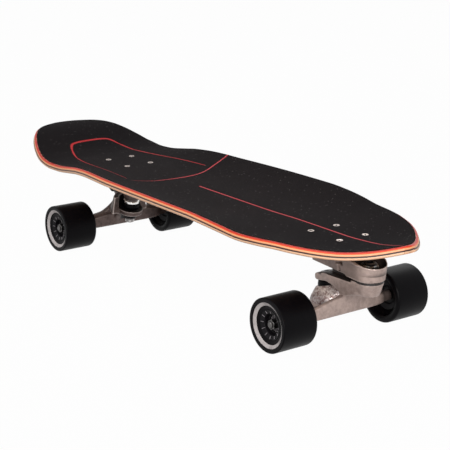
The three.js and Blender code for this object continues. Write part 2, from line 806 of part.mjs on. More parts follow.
function makeReturnSpring() {
  const wire = new THREE.Shape();
  wire.absarc(0, 0, springWireRadius, 0, 2 * Math.PI);
  const length = springEndX() - springStartX() - 2 * springWireRadius - 2 * seatGap;
  const spring = new THREE.ExtrudeGeometry(wire, {
    steps: springTurns * springTurnSteps,
    curveSegments: 2,
    extrudePath: new Helix(springCoilRadius, length, springTurns),
  });
  spring.translate(springStartX() + springWireRadius + seatGap, 0, springHeight());
  place("return_spring", spring, "steel");
  const reach = swingX - shaftRadius - springEndX() - 2 * seatGap;
  place("spring_plunger", plungerAt(rod(plungerRadius, 0, reach, 12)), "steel");
}

// A kingpin set, from its head down: the same pieces on both trucks
function makeKingpinSet(name, axis, seatTop, sizes) {
  const lowerTop = -(seatTop + sizes.seat + seatGap);
  const lowerBottom = lowerTop - sizes.lower;
  const washerBottom = lowerBottom - seatGap - cupWasherThickness;
  const nutBottom = washerBottom - seatGap - kingpinNutHeight;
  const bushingTop = -sizes.top;
  place(`${name}_kingpin`, onAxis(turned([
    [0, nutBottom - kingpinTail], [kingpinRadius, nutBottom - kingpinTail],
    [kingpinRadius, sizes.headBottom], [kingpinHeadRadius, sizes.headBottom],
    [kingpinHeadRadius, sizes.headBottom + kingpinHeadHeight], [0, sizes.headBottom + kingpinHeadHeight],
  ], 12), axis), "steel");
  place(`${name}_bushing_upper`, onAxis(turned([
    [kingpinRadius + seatGap, bushingTop - sizes.upper], [sizes.radius, bushingTop - sizes.upper],
    [sizes.radius, bushingTop - sizes.upper / 4], [sizes.radius - sizes.upper / 8, bushingTop],
    [kingpinRadius + seatGap, bushingTop],
  ], 18), axis), "bushing");
  place(`${name}_bushing_lower`, onAxis(turned([
    [kingpinRadius + seatGap, lowerBottom], [lowerBushingRadius - sizes.lower / 8, lowerBottom],
    [lowerBushingRadius, lowerTop], [kingpinRadius + seatGap, lowerTop],
  ], 16), axis), "bushing");
  place(`${name}_washer_lower`, onAxis(tube(lowerWasherRadius, kingpinRadius + seatGap, washerBottom,
    washerBottom + cupWasherThickness, 14), axis), "steel");
  place(`${name}_kingpin_nut`, onAxis(hexNut(kingpinNutRadius, kingpinRadius + seatGap, nutBottom,
    nutBottom + kingpinNutHeight), axis), "steel");
}

function pinClearances(axis, seatTop, seat, spread) {
  const hole = onAxis(rod(kingpinRadius + kingpinHoleClearance, -deckTopHeight, 0, 16), axis);
  const depth = lowerBushingRadius + pinWallClearance;
  const top = -(seatTop + seat);
  const foot = top - deckTopHeight / 3;
  const cone = turned([
    [0, foot], [spread + deckTopHeight / 12, foot], [spread, top + foot / 3],
    [depth + seatGap, top], [0, top],
  ], 24);
  const narrow = solidOf(new THREE.BoxGeometry(2 * depth, deckTopHeight, 2 * deckTopHeight));
  return joined(hole, onAxis(cone.intersect(narrow), axis));
}

// A bar along the axle whose top follows a table of shares of its half length and of its top rise.
// Its lower edges are bevelled, and its underside rises to the stubs at both ends.
function makeHangerBeam(axleX, topShares, drop, halfDepth) {
  const top = topShares.map(([y, rise]) => [y * hangerBeamEnd, axleHeight + rise]);
  const bottom = [
    [hangerBeamEnd, axleHeight - drop + beamEndLift],
    [hangerBeamEnd * beamLiftStart, axleHeight - drop],
  ];
  const half = [...top, ...bottom];
  const outline = [...half, ...half.map(([y, z]) => [-y, z]).reverse().slice(0, -1)];
  const front = slab("front", outlineShape(outline.reverse()), axleX - halfDepth, axleX + halfDepth);
  const reach = 2 * deckTopHeight;
  const section = slab("side", outlineShape([
    [axleX - halfDepth, axleHeight - drop + beamBevel],
    [axleX - halfDepth + beamBevel, axleHeight - drop],
    [axleX + halfDepth - beamBevel, axleHeight - drop],
    [axleX + halfDepth, axleHeight - drop + beamBevel],
    [axleX + halfDepth, reach],
    [axleX - halfDepth, reach],
  ]), -hangerBeamEnd, hangerBeamEnd);
  const stub = rod(stubRadius, -hangerHalfLength, hangerHalfLength, 16)
    .rotate([90, 0, 0]).translate([axleX, 0, axleHeight]);
  return front.intersect(section).add(stub);
}

function axleHole(axleX) {
  return rod(axleRadius + axleHoleClearance, -trackOuterWidth, trackOuterWidth, 12)
    .rotate([90, 0, 0]).translate([axleX, 0, axleHeight]);
}

function makeFrontHanger() {
  const beam = makeHangerBeam(frontAxleX, frontBeamShares, frontBeamDrop, beamHalfDepth);
  const bellTop = -frontSeatTop;
  const bell = onAxis(turned([
    ...frontBellShares.map(([r, h]) => [r * frontBellRadius, bellTop - h * frontBellHeight]),
    [0, bellTop - frontBellHeight],
    [0, bellTop],
  ]), frontPinAxis);
  const trimmed = bell.intersect(slab("plan", roundPlate(frontPinAxis.x - 2 * frontBellRadius,
    frontAxleX + beamHalfDepth, 2 * frontBellRadius, beamHalfDepth), axleHeight - frontBeamDrop,
    deckTopHeight, 2));
  const nubAt = (s, rise) => {
    const a = frontSteerAngle * degree;
    return [
      frontRing.x + Math.cos(a) * s - Math.sin(a) * rise,
      frontRing.z + Math.sin(a) * s + Math.cos(a) * rise,
    ];
  };
  const wing = slab("side", outlineShape([
    [frontAxleX - beamHalfDepth, axleHeight],
    [frontAxleX + beamHalfDepth, axleHeight],
    nubAt(nubStart, -nubRadius),
    nubAt(nubStart, nubRadius / 2),
    nubAt(nubStart / 2, nubRadius),
  ]), -frontWingHalfWidth, frontWingHalfWidth);
  const nub = onAxis(rod(nubRadius, nubStart / 2, nubEnd, 16), frontSteerAxis);
  const clear = pinClearances(frontPinAxis, frontSeatTop, frontSeatThickness, bellSpread());
  const solid = cut(joined(beam, trimmed, wing, nub), clear, axleHole(frontAxleX));
  place("front_hanger", solid, "casting");
  place("front_pivot_cup", onAxis(pivotCup(), frontSteerAxis), "bushing");
}

function bellSpread() {
  return lowerBushingRadius + kingpinHoleClearance;
}

// A cup with a closed end, from its mouth out along the steering axis
function pivotCup() {
  const mouth = nubEnd + pivotCupFloor - pivotCupLength;
  const inner = nubRadius + seatGap;
  return turned([
    [0, nubEnd + seatGap], [inner, nubEnd + seatGap], [inner, mouth], [pivotCupRadius, mouth],
    [pivotCupRadius, nubEnd + pivotCupFloor], [0, nubEnd + pivotCupFloor],
  ], 20);
}

function makeRearBase() {
  place("rear_riser", cutPlateHoles(slab("plan",
    roundPlate(rearX - rearPlateTail, rearX + rearPlateNose, basePlateHalfWidth, basePlateCorner),
    rearPlateTop + seatGap, rearPlateTop + seatGap + riserThickness, 4), rearX), "riser");
  const plate = slab("plan",
    roundPlate(rearX - rearPlateTail, rearX + rearPlateNose, basePlateHalfWidth, basePlateCorner),
    rearPlateBottom, rearPlateTop, 4);
  const lift = rearPlateBottom - rearPinHeight + basePlateThickness / 2;
  const boss = onAxis(turned([
    [0, 0], [rearBossBottomRadius, 0],
    [rearBossBottomRadius + kingpinRadius / 2, lift / 2],
    [rearBossTopRadius, lift], [0, lift],
  ]), rearPinAxis);
  const a = rearSteerAngle * degree;
  const pivotAt = (s, rise) => [
    rearRing.x - Math.cos(a) * s + Math.sin(a) * rise,
    rearRing.z + Math.sin(a) * s + Math.cos(a) * rise,
  ];
  const faceStart = nubEnd + pivotCupFloor - pivotCupLength + pivotCupLength / 4;
  const tailX = rearX - rearPlateTail;
  const housing = slab("side", outlineShape([
    pivotAt(faceStart, -rearHousingHalfWidth),
    pivotAt(nubEnd + 2 * pivotCupFloor, -rearHousingHalfWidth),
    [tailX, rearPlateBottom - basePlateThickness],
    [tailX, rearPlateBottom + seatGap],
    [pivotAt(faceStart, rearHousingHalfWidth)[0] + basePlateThickness, rearPlateBottom + seatGap],
    pivotAt(faceStart, rearHousingHalfWidth),
  ]), -rearHousingHalfWidth, rearHousingHalfWidth);
  const cup = onAxis(rod(pivotCupRadius + seatGap, nubStart, nubEnd + pivotCupFloor + seatGap, 20),
    rearSteerAxis);
  const pinBore = onAxis(joined(
    rod(kingpinRadius + seatGap, -deckTopHeight, deckTopHeight, 16),
    rod(kingpinHeadRadius + seatGap, rearHeadBottom() - seatGap, deckTopHeight, 16),
  ), rearPinAxis);
  place("rear_baseplate", cutPlateHoles(cut(joined(plate, boss, housing), cup, pinBore), rearX),
    "casting");
  place("rear_pivot_cup", onAxis(pivotCup(), rearSteerAxis), "bushing");
  place("rear_washer_upper", onAxis(tube(rearCupWasherRadius, kingpinRadius + seatGap,
    seatGap - rearBushingTop, -seatGap, 18), rearPinAxis), "steel");
}

function rearHeadBottom() {
  return rearPlateTop - rearPinHeight - kingpinHeadHeight - 2 * boltHeadHeight;
}

function makeRearHanger() {
  const beam = makeHangerBeam(rearAxleX, rearBeamShares, rearBeamDrop, beamHalfDepth);
  const web = makeHangerBeam(rearAxleX, rearWebShares, 0, rearWebHalfDepth);
  const pin = rearPinAxis;
  const ringFoot = rearSeatTop + rearSeatThickness;
  const ringBottom = downAxis(pin, ringFoot).z;
  const bowlNoseX = rearAxleX + rearBowlNose;
  const bowlTailX = rearAxleX - beamHalfDepth;
  const bowl = onAxis(turned([
    [0, -ringFoot], [rearBowlFootRadius, -ringFoot],
    [rearBowlTopRadius, rearBowlRise + axleHeight - pin.z],
    [rearBowlTopRadius, ringFoot], [0, ringFoot],
  ]), pin).intersect(slab("side", outlineShape([
    [bowlTailX, axleHeight - beamBevel],
    [rearAxleX + beamHalfDepth, axleHeight - beamBevel],
    [bowlNoseX, ringBottom - rearSeatThickness],
    [bowlNoseX, axleHeight + rearBowlRise],
    [rearAxleX, axleHeight + rearTowerRise],
    [bowlTailX, axleHeight + rearTowerRise / 2],
  ]), -rearBowlFootRadius, rearBowlFootRadius));
  const foot = slab("side", outlineShape([
    [bowlTailX, axleHeight - beamBevel],
    [rearAxleX + beamHalfDepth, axleHeight - beamBevel],
    [bowlNoseX, ringBottom],
    [bowlNoseX, ringBottom + rearSeatThickness / 2],
    [bowlTailX, ringBottom + rearSeatThickness / 2],
  ]), -rearLipRadius, rearLipRadius);
  const ring = onAxis(rod(rearLipRadius, -ringFoot, -rearSeatTop, 24), pin);
  const nub = onAxis(turned([
    [0, 0], [rearHousingHalfWidth, 0], [rearHousingHalfWidth, nubStart - nubRadius],
    [nubRadius, nubStart + nubRadius / 2], [nubRadius, nubEnd], [0, nubEnd],
  ], 20), rearSteerAxis);
  const pocket = onAxis(rod(rearPocketRadius, -rearSeatTop, deckTopHeight, 24), pin);
  const clear = pinClearances(pin, rearSeatTop, rearSeatThickness, bellSpread());
  const block = joined(beam, web, bowl, foot, ring).subtract(pocket);
  const towerFace = onAxis(rod(deckTopHeight / 3, nubStart + nubRadius / 2, deckTopHeight, 20),
    rearSteerAxis);
  const solid = cut(block.subtract(towerFace).add(nub.subtract(pocket)), clear, axleHole(rearAxleX));
  place("rear_hanger", solid, "casting");
}

function makeAxles() {
  const half = wheelCentreY + bearingPackHalf + speedWasherThickness + axleNutHeight
    + 2 * seatGap + axleThreadTail;
  for (const [name, x] of [["front", frontAxleX], ["rear", rearAxleX]]) {
    const axle = rod(axleRadius, -half, half, 12).rotate([90, 0, 0]).translate([x, 0, axleHeight]);
    place(`${name}_axle`, axle, "steel");
  }
}

// Wheel pieces are turned about Z with the outer face up, then laid on the axle

function tyreSolid() {
  const half = wheelWidth / 2;
  const radius = wheelDiameter / 2 / Math.cos(Math.PI / wheelFacets);
  const core = coreOuterRadius + seatGap;
  const profile = [
    [core, half - wheelDishDepth],
    [wheelRingInnerRadius, half - wheelRingDepth],
    [wheelRingOuterRadius, half],
    [radius - wheelLipRound / 2, half],
    [radius, half - wheelLipRound],
  ];
  const mirrored = profile.map(([r, h]) => [r, -h]).reverse();
  return turned([...mirrored, ...profile], wheelFacets);
}

function coreSolid() {
  const seat = bearingRadius + seatGap;
  const seatDepth = bearingPackHalf + seatGap;
  const half = coreWidth / 2;
  const profile = [
    [coreWebRadius, coreWebHalfThickness],
    [seat, coreWebHalfThickness],
    [seat, seatDepth],
    [coreHubRadius, seatDepth + coreFaceDepth / 2],
    [coreOuterRadius, half],
  ];
  const mirrored = profile.map(([r, h]) => [r, -h]).reverse();
  const body = turned([...profile, ...mirrored], coreFacets);
  const shape = new THREE.Shape();
  const spread = Math.PI / corePockets * corePocketFill;
  shape.absarc(0, 0, corePocketOuterRadius, -spread, spread, false);
  shape.absarc(0, 0, corePocketInnerRadius, spread, -spread, true);
  const pocket = slab("plan", shape, half - corePocketDepth, half + cutOverrun, 1);
  let solid = body;
  for (let i = 0; i < corePockets; i += 1) {
    solid = solid.subtract(pocket.rotate([0, 0, i * 360 / corePockets]));
  }
  return solid;
}

function makeWheels() {
  const tyre = tyreSolid();
  const core = coreSolid();
  const bearing = tube(bearingRadius, axleRadius + axleHoleClearance, 0, bearingWidth, 12);
  const nutStart = bearingPackHalf + seatGap;
  const nut = joined(
    tube(speedWasherRadius, axleRadius + seatGap, nutStart, nutStart + speedWasherThickness, 12),
    hexNut(axleNutRadius, axleRadius + seatGap, nutStart + speedWasherThickness,
      nutStart + speedWasherThickness + axleNutHeight),
  );
  for (const [end, x] of [["front", frontAxleX], ["rear", rearAxleX]]) {
    for (const [hand, side] of [["left", 1], ["right", -1]]) {
      const lay = (solid) => onWheelAxis(solid, x, side * wheelCentreY, side);
      const faceted = (solid) => lay(solid.rotate([0, 0, 180 / wheelFacets]));
      const name = `${end}_${hand}`;
      place(`${name}_tyre`, faceted(tyre), "urethane");
      place(`${name}_core`, lay(core), "core");
      place(`${name}_bearing_outer`, lay(bearing.translate([0, 0, bearingSpacing / 2])), "steel");
      place(`${name}_bearing_inner`,
        lay(bearing.translate([0, 0, -bearingSpacing / 2 - bearingWidth])), "steel");
      place(`${name}_axle_nut`, lay(nut), "steel");
    }
  }
}

makeDeck();
makeDeckBolts();
makeFrontBase();
makeSwingShaft();
makeFrontArm();
makeReturnSpring();
makeKingpinSet("front", frontPinAxis, frontSeatTop, {
  top: frontBushingTop,
  upper: frontBushingHeight,
  radius: frontBushingRadius,
  seat: frontSeatThickness,
  lower: frontLowerBushingHeight,
  headBottom: armSeatThickness - kingpinHeadHeight + seatGap,
});
makeFrontHanger();
makeRearBase();
makeKingpinSet("rear", rearPinAxis, rearSeatTop, {
  top: rearBushingTop,
  upper: rearBushingHeight,
  radius: rearBushingRadius,
  seat: rearSeatThickness,
  lower: rearLowerBushingHeight,
  headBottom: rearHeadBottom(),
});
makeRearHanger();
makeAxles();
makeWheels();

export default board;
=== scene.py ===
# Surf skateboard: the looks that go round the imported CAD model.
# Sizes are in millimetres until a mesh is made. +X is the nose, +Y the rider's left, +Z up.

import math

import bmesh
import bpy
import numpy as np
from mathutils import Matrix, Vector


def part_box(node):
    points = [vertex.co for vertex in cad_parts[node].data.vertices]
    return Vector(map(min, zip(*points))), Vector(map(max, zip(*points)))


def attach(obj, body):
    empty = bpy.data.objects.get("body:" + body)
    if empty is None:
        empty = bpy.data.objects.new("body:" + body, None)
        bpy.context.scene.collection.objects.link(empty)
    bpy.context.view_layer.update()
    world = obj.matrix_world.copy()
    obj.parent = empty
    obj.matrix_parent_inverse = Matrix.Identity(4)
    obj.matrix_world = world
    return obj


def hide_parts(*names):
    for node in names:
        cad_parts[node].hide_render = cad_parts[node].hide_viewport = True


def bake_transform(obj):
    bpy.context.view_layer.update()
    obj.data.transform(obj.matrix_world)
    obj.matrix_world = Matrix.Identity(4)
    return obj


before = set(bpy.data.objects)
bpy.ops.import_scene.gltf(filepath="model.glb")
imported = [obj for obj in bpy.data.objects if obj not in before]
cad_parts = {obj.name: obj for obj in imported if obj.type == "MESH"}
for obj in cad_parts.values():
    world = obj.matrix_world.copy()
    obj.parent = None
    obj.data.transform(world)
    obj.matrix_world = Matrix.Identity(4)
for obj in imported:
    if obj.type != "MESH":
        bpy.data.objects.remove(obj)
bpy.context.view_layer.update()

MM = 0.001
DEGREE = math.pi / 180

# Deck
DECK_LENGTH = 818
DECK_WIDTH = 242.6
DECK_THICKNESS = 9.6
DECK_TOP = 127.6
BELLY_SAG = 1.5
TAIL_KICK = 29
NOSE_KICK = 15.2
CONCAVE = 17
FLAT_HALF_WIDTH = 32
GRIP_INSET = 2.2
GRIP_THICKNESS = 0.8
EDGE_ROUND = 2.6
OUTLINE_SHARES = [
    (-1, 0), (-0.981, 0.221), (-0.93, 0.498), (-0.843, 0.691),
    (-0.7255, 0.823), (-0.586, 0.85), (-0.4216, 0.895), (-0.246, 0.949),
    (0.037, 0.99), (0.27, 1), (0.404, 0.995), (0.488, 0.978),
    (0.569, 0.945), (0.645, 0.894), (0.713, 0.826), (0.777, 0.743),
    (0.833, 0.636), (0.882, 0.501), (0.924, 0.362), (0.955, 0.241),
    (0.982, 0.125), (0.996, 0.05), (1, 0),
]
TAIL_SHARES = [
    (-1, 0.97), (-0.98, 0.997), (-0.958, 1), (-0.929, 0.962), (-0.89, 0.852),
    (-0.843, 0.652), (-0.789, 0.39), (-0.725, 0.131), (-0.642, 0), (1, 0),
]
NOSE_SHARES = [
    (-1, 0), (0.735, 0), (0.8, 0.07), (0.872, 0.217), (0.924, 0.44),
    (0.956, 0.625), (0.98, 0.816), (1, 1),
]
SAG_SHARES = [(-1, 0), (-0.36, 0), (-0.15, 1), (0.32, 1), (0.54, 0), (1, 0)]
CONCAVE_SHARES = [
    (-1, 0), (-0.66, 0), (-0.586, 0.1), (-0.505, 0.48), (-0.42, 0.86),
    (-0.333, 0.98), (-0.245, 1), (0.32, 1), (0.404, 0.89), (0.488, 0.7),
    (0.569, 0.52), (0.645, 0.62), (0.713, 0.8), (0.777, 0.87), (1, 0.87),
]

# Trucks and wheels
FRONT_X = 284.6
REAR_X = -201.2
BOLT_LENGTH = 54
BOLT_WIDTH = 41.3
PLATE_HALF_WIDTH = 27.5
PLATE_THICKNESS = 7
PLATE_CORNER = 8
REAR_TAIL = -262.2
REAR_NOSE = -162.2
FRONT_PLATE_TOP = 117.7
REAR_PLATE_TOP = 104.7
SEAT_GAP = 0.3
AXLE_HEIGHT = 34.5
FRONT_AXLE_X = 293.8
REAR_AXLE_X = -227.2
WHEEL_Y = 91.3
WHEEL_RADIUS = 34.5
WHEEL_HALF_WIDTH = 25.65
SWING_X = 343.3
SEAM_HEIGHT = 87.2
SWING_TILT = 3
AXLES = (("front", FRONT_AXLE_X), ("rear", REAR_AXLE_X))
SIDES = (("left", 1), ("right", -1))


# Small helpers for points

def along(table, x):
    """Smooth height along a table of (place, value) rows, with flat runs kept flat."""
    places = np.array([row[0] for row in table], float)
    values = np.array([row[1] for row in table], float)
    slopes = np.diff(values) / np.diff(places)
    before, after = slopes[:-1], slopes[1:]
    together = before * after
    both = np.where(together > 0, before + after, 1)
    inner = np.where(together > 0, 2 * together / both, 0)
    tangents = np.concatenate([[slopes[0]], inner, [slopes[-1]]])
    x = np.asarray(x, float)
    i = np.clip(np.searchsorted(places, x, side="left") - 1, 0, len(places) - 2)
    span = places[i + 1] - places[i]
    t = np.clip((x - places[i]) / span, 0, 1)
    t2, t3 = t * t, t * t * t
    return ((2 * t3 - 3 * t2 + 1) * values[i] + (t3 - 2 * t2 + t) * span * tangents[i]
            + (3 * t2 - 2 * t3) * values[i + 1] + (t3 - t2) * span * tangents[i + 1])


class Axis:
    """A place and a direction that turned shapes are made about."""

    def __init__(self, origin, across, direction):
        self.origin = np.array(origin, float)
        self.u = np.array(across, float)
        self.w = np.array(direction, float)
        self.v = np.cross(self.w, self.u)

    def local(self, points):
        moved = points - self.origin
        return moved @ self.u, moved @ self.v, moved @ self.w

    def polar(self, points):
        a, b, h = self.local(points)
        return np.hypot(a, b), h

    def placed(self, points):
        points = np.asarray(points, float)
        return (self.origin + points[:, :1] * self.u + points[:, 1:2] * self.v
                + points[:, 2:3] * self.w)

    def down(self, distance):
        return Axis(self.origin - self.w * distance, self.u, self.w)


def leaning(x, z, tilt):
    """An axis in the XZ plane that leans from upright towards the nose."""
    s, c = math.sin(tilt * DEGREE), math.cos(tilt * DEGREE)
    return Axis((x, 0, z), (c, 0, -s), (s, 0, c))


def crosswise(x, y, side):
    """An axis along an axle, outwards on the side given as 1 or -1."""
    return Axis((x, y, AXLE_HEIGHT), (1, 0, 0), (0, side, 0))


# Meshes

def new_object(name, data):
    piece = bpy.data.objects.new(name, data)
    bpy.context.scene.collection.objects.link(piece)
    return piece


def mesh_from(name, points, faces):
    mesh = bpy.data.meshes.new(name)
    points = np.asarray(points, float) * MM
    mesh.from_pydata(points.tolist(), [], [tuple(int(i) for i in face) for face in faces])
    mesh.update()
    return mesh


def grid_faces(index):
    """Square faces between the rows and columns of a grid of point numbers."""
    return list(zip(index[:-1, :-1].ravel(), index[1:, :-1].ravel(), index[1:, 1:].ravel(),
                    index[:-1, 1:].ravel()))


def joined(parts):
    """One list of points and faces from several."""
    points, faces, start = [], [], 0
    for part_points, part_faces in parts:
        points.append(np.asarray(part_points, float))
        faces += [tuple(i + start for i in face) for face in part_faces]
        start += len(part_points)
    return np.concatenate(points), faces


def tidied(mesh, crease=35):
    """Merges doubles, turns the faces outwards and shades smoothly up to a crease angle."""
    shape = bmesh.new()
    shape.from_mesh(mesh)
    bmesh.ops.remove_doubles(shape, verts=shape.verts, dist=1e-6)
    bmesh.ops.dissolve_degenerate(shape, dist=1e-7, edges=shape.edges)
    bmesh.ops.recalc_face_normals(shape, faces=shape.faces)
    shape.to_mesh(mesh)
    shape.free()
    mesh.polygons.foreach_set("use_smooth", [True] * len(mesh.polygons))
    if crease:
        mesh.set_sharp_from_angle(angle=crease * DEGREE)
    mesh.update()


def finished(name, shape, finish, body, nodes=(), crease=35):
    """A piece from its points and faces, which rides on a body in place of some CAD nodes."""
    mesh = mesh_from(name, *shape)
    tidied(mesh, crease)
    mesh.materials.append(finish)
    settled(new_object(name, mesh), body, nodes)


def pressed(axis, holder, hanger, held, moving):
    """The holder and hanger beside a bushing, and the points at the heights along its axis where it
    is held and where the hanger moves it."""
    start, end = (axis.placed([(0, 0, held), (0, 0, moving)]) * MM).tolist()
    return holder, hanger, start, end


def settled(piece, body, nodes=()):
    """The piece moves with one body, or stays in place when given two, and stands for the CAD
    nodes.
    """
    if isinstance(body, str):
        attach(piece, body)
    else:
        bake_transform(piece)
    if nodes:
        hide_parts(*nodes)


def softened(rows):
    """Rows of (radius, height, rounding) with each corner drawn as an arc."""
    out = []
    count = len(rows)
    for i, row in enumerate(rows):
        here = np.array(row[:2], float)
        rounding = row[2] if len(row) > 2 else 0
        if rounding <= 0:
            out.append(tuple(here))
            continue
        before = np.array(rows[i - 1][:2], float) - here
        after = np.array(rows[(i + 1) % count][:2], float) - here
        reach = min(rounding, 0.48 * np.hypot(*before), 0.48 * np.hypot(*after))
        a = here + before / np.hypot(*before) * reach
        b = here + after / np.hypot(*after) * reach
        for t in (0, 0.25, 0.5, 0.75, 1):
            out.append(tuple((1 - t) ** 2 * a + 2 * t * (1 - t) * here + t * t * b))
    return out


def turned(rows, axis, segments=64, flats=0, across=0):
    """A closed profile of (radius, height, rounding) rows turned about an axis.
    With flats, no point lies outside the prism of that many sides and that size across."""
    profile = softened(rows)
    angles = np.arange(segments) * 2 * math.pi / segments
    limit = np.full(segments, np.inf)
    if flats:
        half = math.pi / flats
        limit = across / 2 / np.cos((angles + half) % (2 * half) - half)
    points = []
    for r, h in profile:
        radius = np.minimum(max(r, 0), limit)
        points.append(np.stack([radius * np.cos(angles), radius * np.sin(angles),
                                np.full(segments, h)], -1))
    faces = []
    count = len(profile)
    for k in range(count):
        n = (k + 1) % count
        if profile[k][0] <= 1e-9 and profile[n][0] <= 1e-9:
            continue
        for i in range(segments):
            j = (i + 1) % segments
            faces.append((k * segments + i, k * segments + j, n * segments + j, n * segments + i))
    return axis.placed(np.concatenate(points)), faces


def nut_rows(across, bore, low, high):
    """A hexagon nut's profile: the corners are turned off at both ends."""
    corner = across / 2 / math.cos(math.pi / 6)
    drop = (corner - across / 2) * 0.7
    face = across / 2 * 0.94
    chamfer = 0.4
    return [
        (bore, low), (face, low), (corner, low + drop), (corner, high - drop),
        (face, high), (bore + chamfer, high), (bore, high - chamfer),
    ]


def thread_rows(radius, low, high, pitch, tip=0.6):
    """The outside of a threaded end as fine ridges, from low to high."""
    rows = []
    count = max(1, int((high - low - tip) / pitch))
    step = (high - low - tip) / count
    for i in range(count):
        start = low + i * step
        rows += [(radius, start + 0.1 * step), (radius - 0.45 * pitch, start + 0.6 * step)]
    return rows + [(radius, high - tip), (radius - tip, high)]


# Solid shapes as distances: negative inside, in millimetres

def join(a, b, fillet=0.0):
    """Both solids as one, with a fillet where they meet."""
    if fillet <= 0:
        return np.minimum(a, b)
    h = np.clip(0.5 + 0.5 * (b - a) / fillet, 0, 1)
    return b + (a - b) * h - fillet * h * (1 - h)


def meet(a, b, fillet=0.0):
    """What two solids share, with its edge rounded."""
    return -join(-a, -b, fillet)


def cut(a, b, fillet=0.0):
    """The first solid less the second, with the edge rounded."""
    return -join(-a, b, fillet)


def pushed(flat, across, half, edge):
    """A flat outline's distance pushed to both sides of its plane, with rounded edges."""
    a = flat + edge
    b = np.abs(across) - half + edge
    return (np.minimum(np.maximum(a, b), 0)
            + np.hypot(np.maximum(a, 0), np.maximum(b, 0)) - edge)


def post(points, axis, radius, low, high, edge=0.4):
    """A round bar along an axis, between two heights on it."""
    r, h = axis.polar(points)
    return pushed(r - radius, h - (low + high) / 2, (high - low) / 2, edge)


def outline_distance(corners, u, v):
    """Signed distance in a plane to a closed outline."""
    nearest = np.full(u.shape, np.inf)
    inside = np.zeros(u.shape, bool)
    for (au, av), (bu, bv) in zip(corners, corners[1:] + corners[:1]):
        eu, ev = bu - au, bv - av
        t = np.clip(((u - au) * eu + (v - av) * ev) / (eu * eu + ev * ev), 0, 1)
        nearest = np.minimum(nearest, (u - au - t * eu) ** 2 + (v - av - t * ev) ** 2)
        if av != bv:
            inside ^= ((av > v) != (bv > v)) & (u < eu * (v - av) / ev + au)
    return np.where(inside, -1, 1) * np.sqrt(nearest)


def turned_distance(rows, points, axis):
    """Distance to a solid that (radius, height) corners sweep out round an axis."""
    r, h = axis.polar(points)
    return outline_distance(rows, r, h)


def plate_plan(x, y, tail, nose, half_width, corner):
    """Distance in plan to a plate with rounded corners."""
    return pushed(np.abs(x - (tail + nose) / 2) - (nose - tail) / 2, y, half_width, corner)


def block_of(distance, low, high, step):
    """The distance on a grid, worked out only near the surface."""
    block = 6

    def spread(values):
        for axis in range(3):
            values = np.repeat(values, block, axis)
        return np.pad(values, ((0, 1), (0, 1), (0, 1)), mode="edge")

    counts = [int(math.ceil((b - a) / step / block)) * block for a, b in zip(low, high)]
    axes = [a + np.arange(n + 1) * step for a, n in zip(low, counts)]
    middles = [a[:-1].reshape(-1, block).mean(1) + step / 2 for a in axes]
    coarse = np.stack(np.meshgrid(*middles, indexing="ij"), -1)
    rough = distance(coarse.reshape(-1, 3)).reshape(coarse.shape[:3])
    field = spread(rough)
    i, j, k = np.nonzero(spread(np.abs(rough) < step * block * 1.5))
    field[i, j, k] = distance(np.stack([axes[0][i], axes[1][j], axes[2][k]], -1))
    return field, axes


def skin_of(distance, low, high, step):
    """Points and square faces on the zero level of a distance: one point in each crossed cell,
    and one face round each crossed edge of the grid."""
    field, axes = block_of(distance, low, high, step)
    inside = field < 0
    cells = tuple(n - 1 for n in field.shape)
    total = np.zeros(cells + (3,))
    count = np.zeros(cells)
    crossings = []
    for axis in range(3):
        first, second = [slice(None)] * 3, [slice(None)] * 3
        first[axis] = slice(None, -1)
        second[axis] = slice(1, None)
        a, b = field[tuple(first)], field[tuple(second)]
        starts_inside = inside[tuple(first)]
        edges = np.stack(np.nonzero(starts_inside != inside[tuple(second)]), -1)
        near, far = a[tuple(edges.T)], b[tuple(edges.T)]
        place = edges.astype(float)
        place[:, axis] += near / (near - far)
        others = [o for o in range(3) if o != axis]
        crossings.append((axis, others, edges, starts_inside[tuple(edges.T)]))
        for step_back in ((0, 0), (0, 1), (1, 0), (1, 1)):
            cell = edges.copy()
            cell[:, others] -= step_back
            good = np.all((cell >= 0) & (cell < np.array(cells)), axis=1)
            np.add.at(total, tuple(cell[good].T), place[good])
            np.add.at(count, tuple(cell[good].T), 1)
    used = count > 0
    index = np.full(cells, -1)
    index[used] = np.arange(used.sum())
    points = total[used] / count[used][:, None] * step + np.array([a[0] for a in axes])
    faces = []
    for axis, others, edges, outward in crossings:
        aside = edges[:, others]
        kept = np.all((aside > 0) & (aside < np.array(cells)[others]), axis=1)
        corners = []
        for step_back in ((1, 1), (0, 1), (0, 0), (1, 0)):
            cell = edges[kept]
            cell[:, others] -= step_back
            corners.append(index[tuple(cell.T)])
        quad = np.stack(corners, -1)
        turned_round = outward[kept] if axis == 1 else ~outward[kept]
        quad[turned_round] = quad[turned_round][:, ::-1]
        faces.append(quad)
    return drawn_on(distance, points, step), np.concatenate(faces)


def drawn_on(distance, points, step):
    """Moves points onto the zero level along the slope of the distance, in three rounds."""
    reach = step * 0.25
    for _ in range(3):
        here = distance(points)
        slope = np.stack([
            distance(points + reach * offset) - distance(points - reach * offset)
            for offset in np.eye(3)], -1) / (2 * reach)
        size = np.maximum((slope ** 2).sum(1), 0.05)
        move = -here[:, None] * slope / size[:, None]
        length = np.linalg.norm(move, axis=1)
        move *= np.minimum(1, 0.5 * step / np.maximum(length, 1e-9))[:, None]
        points = points + move
    return points


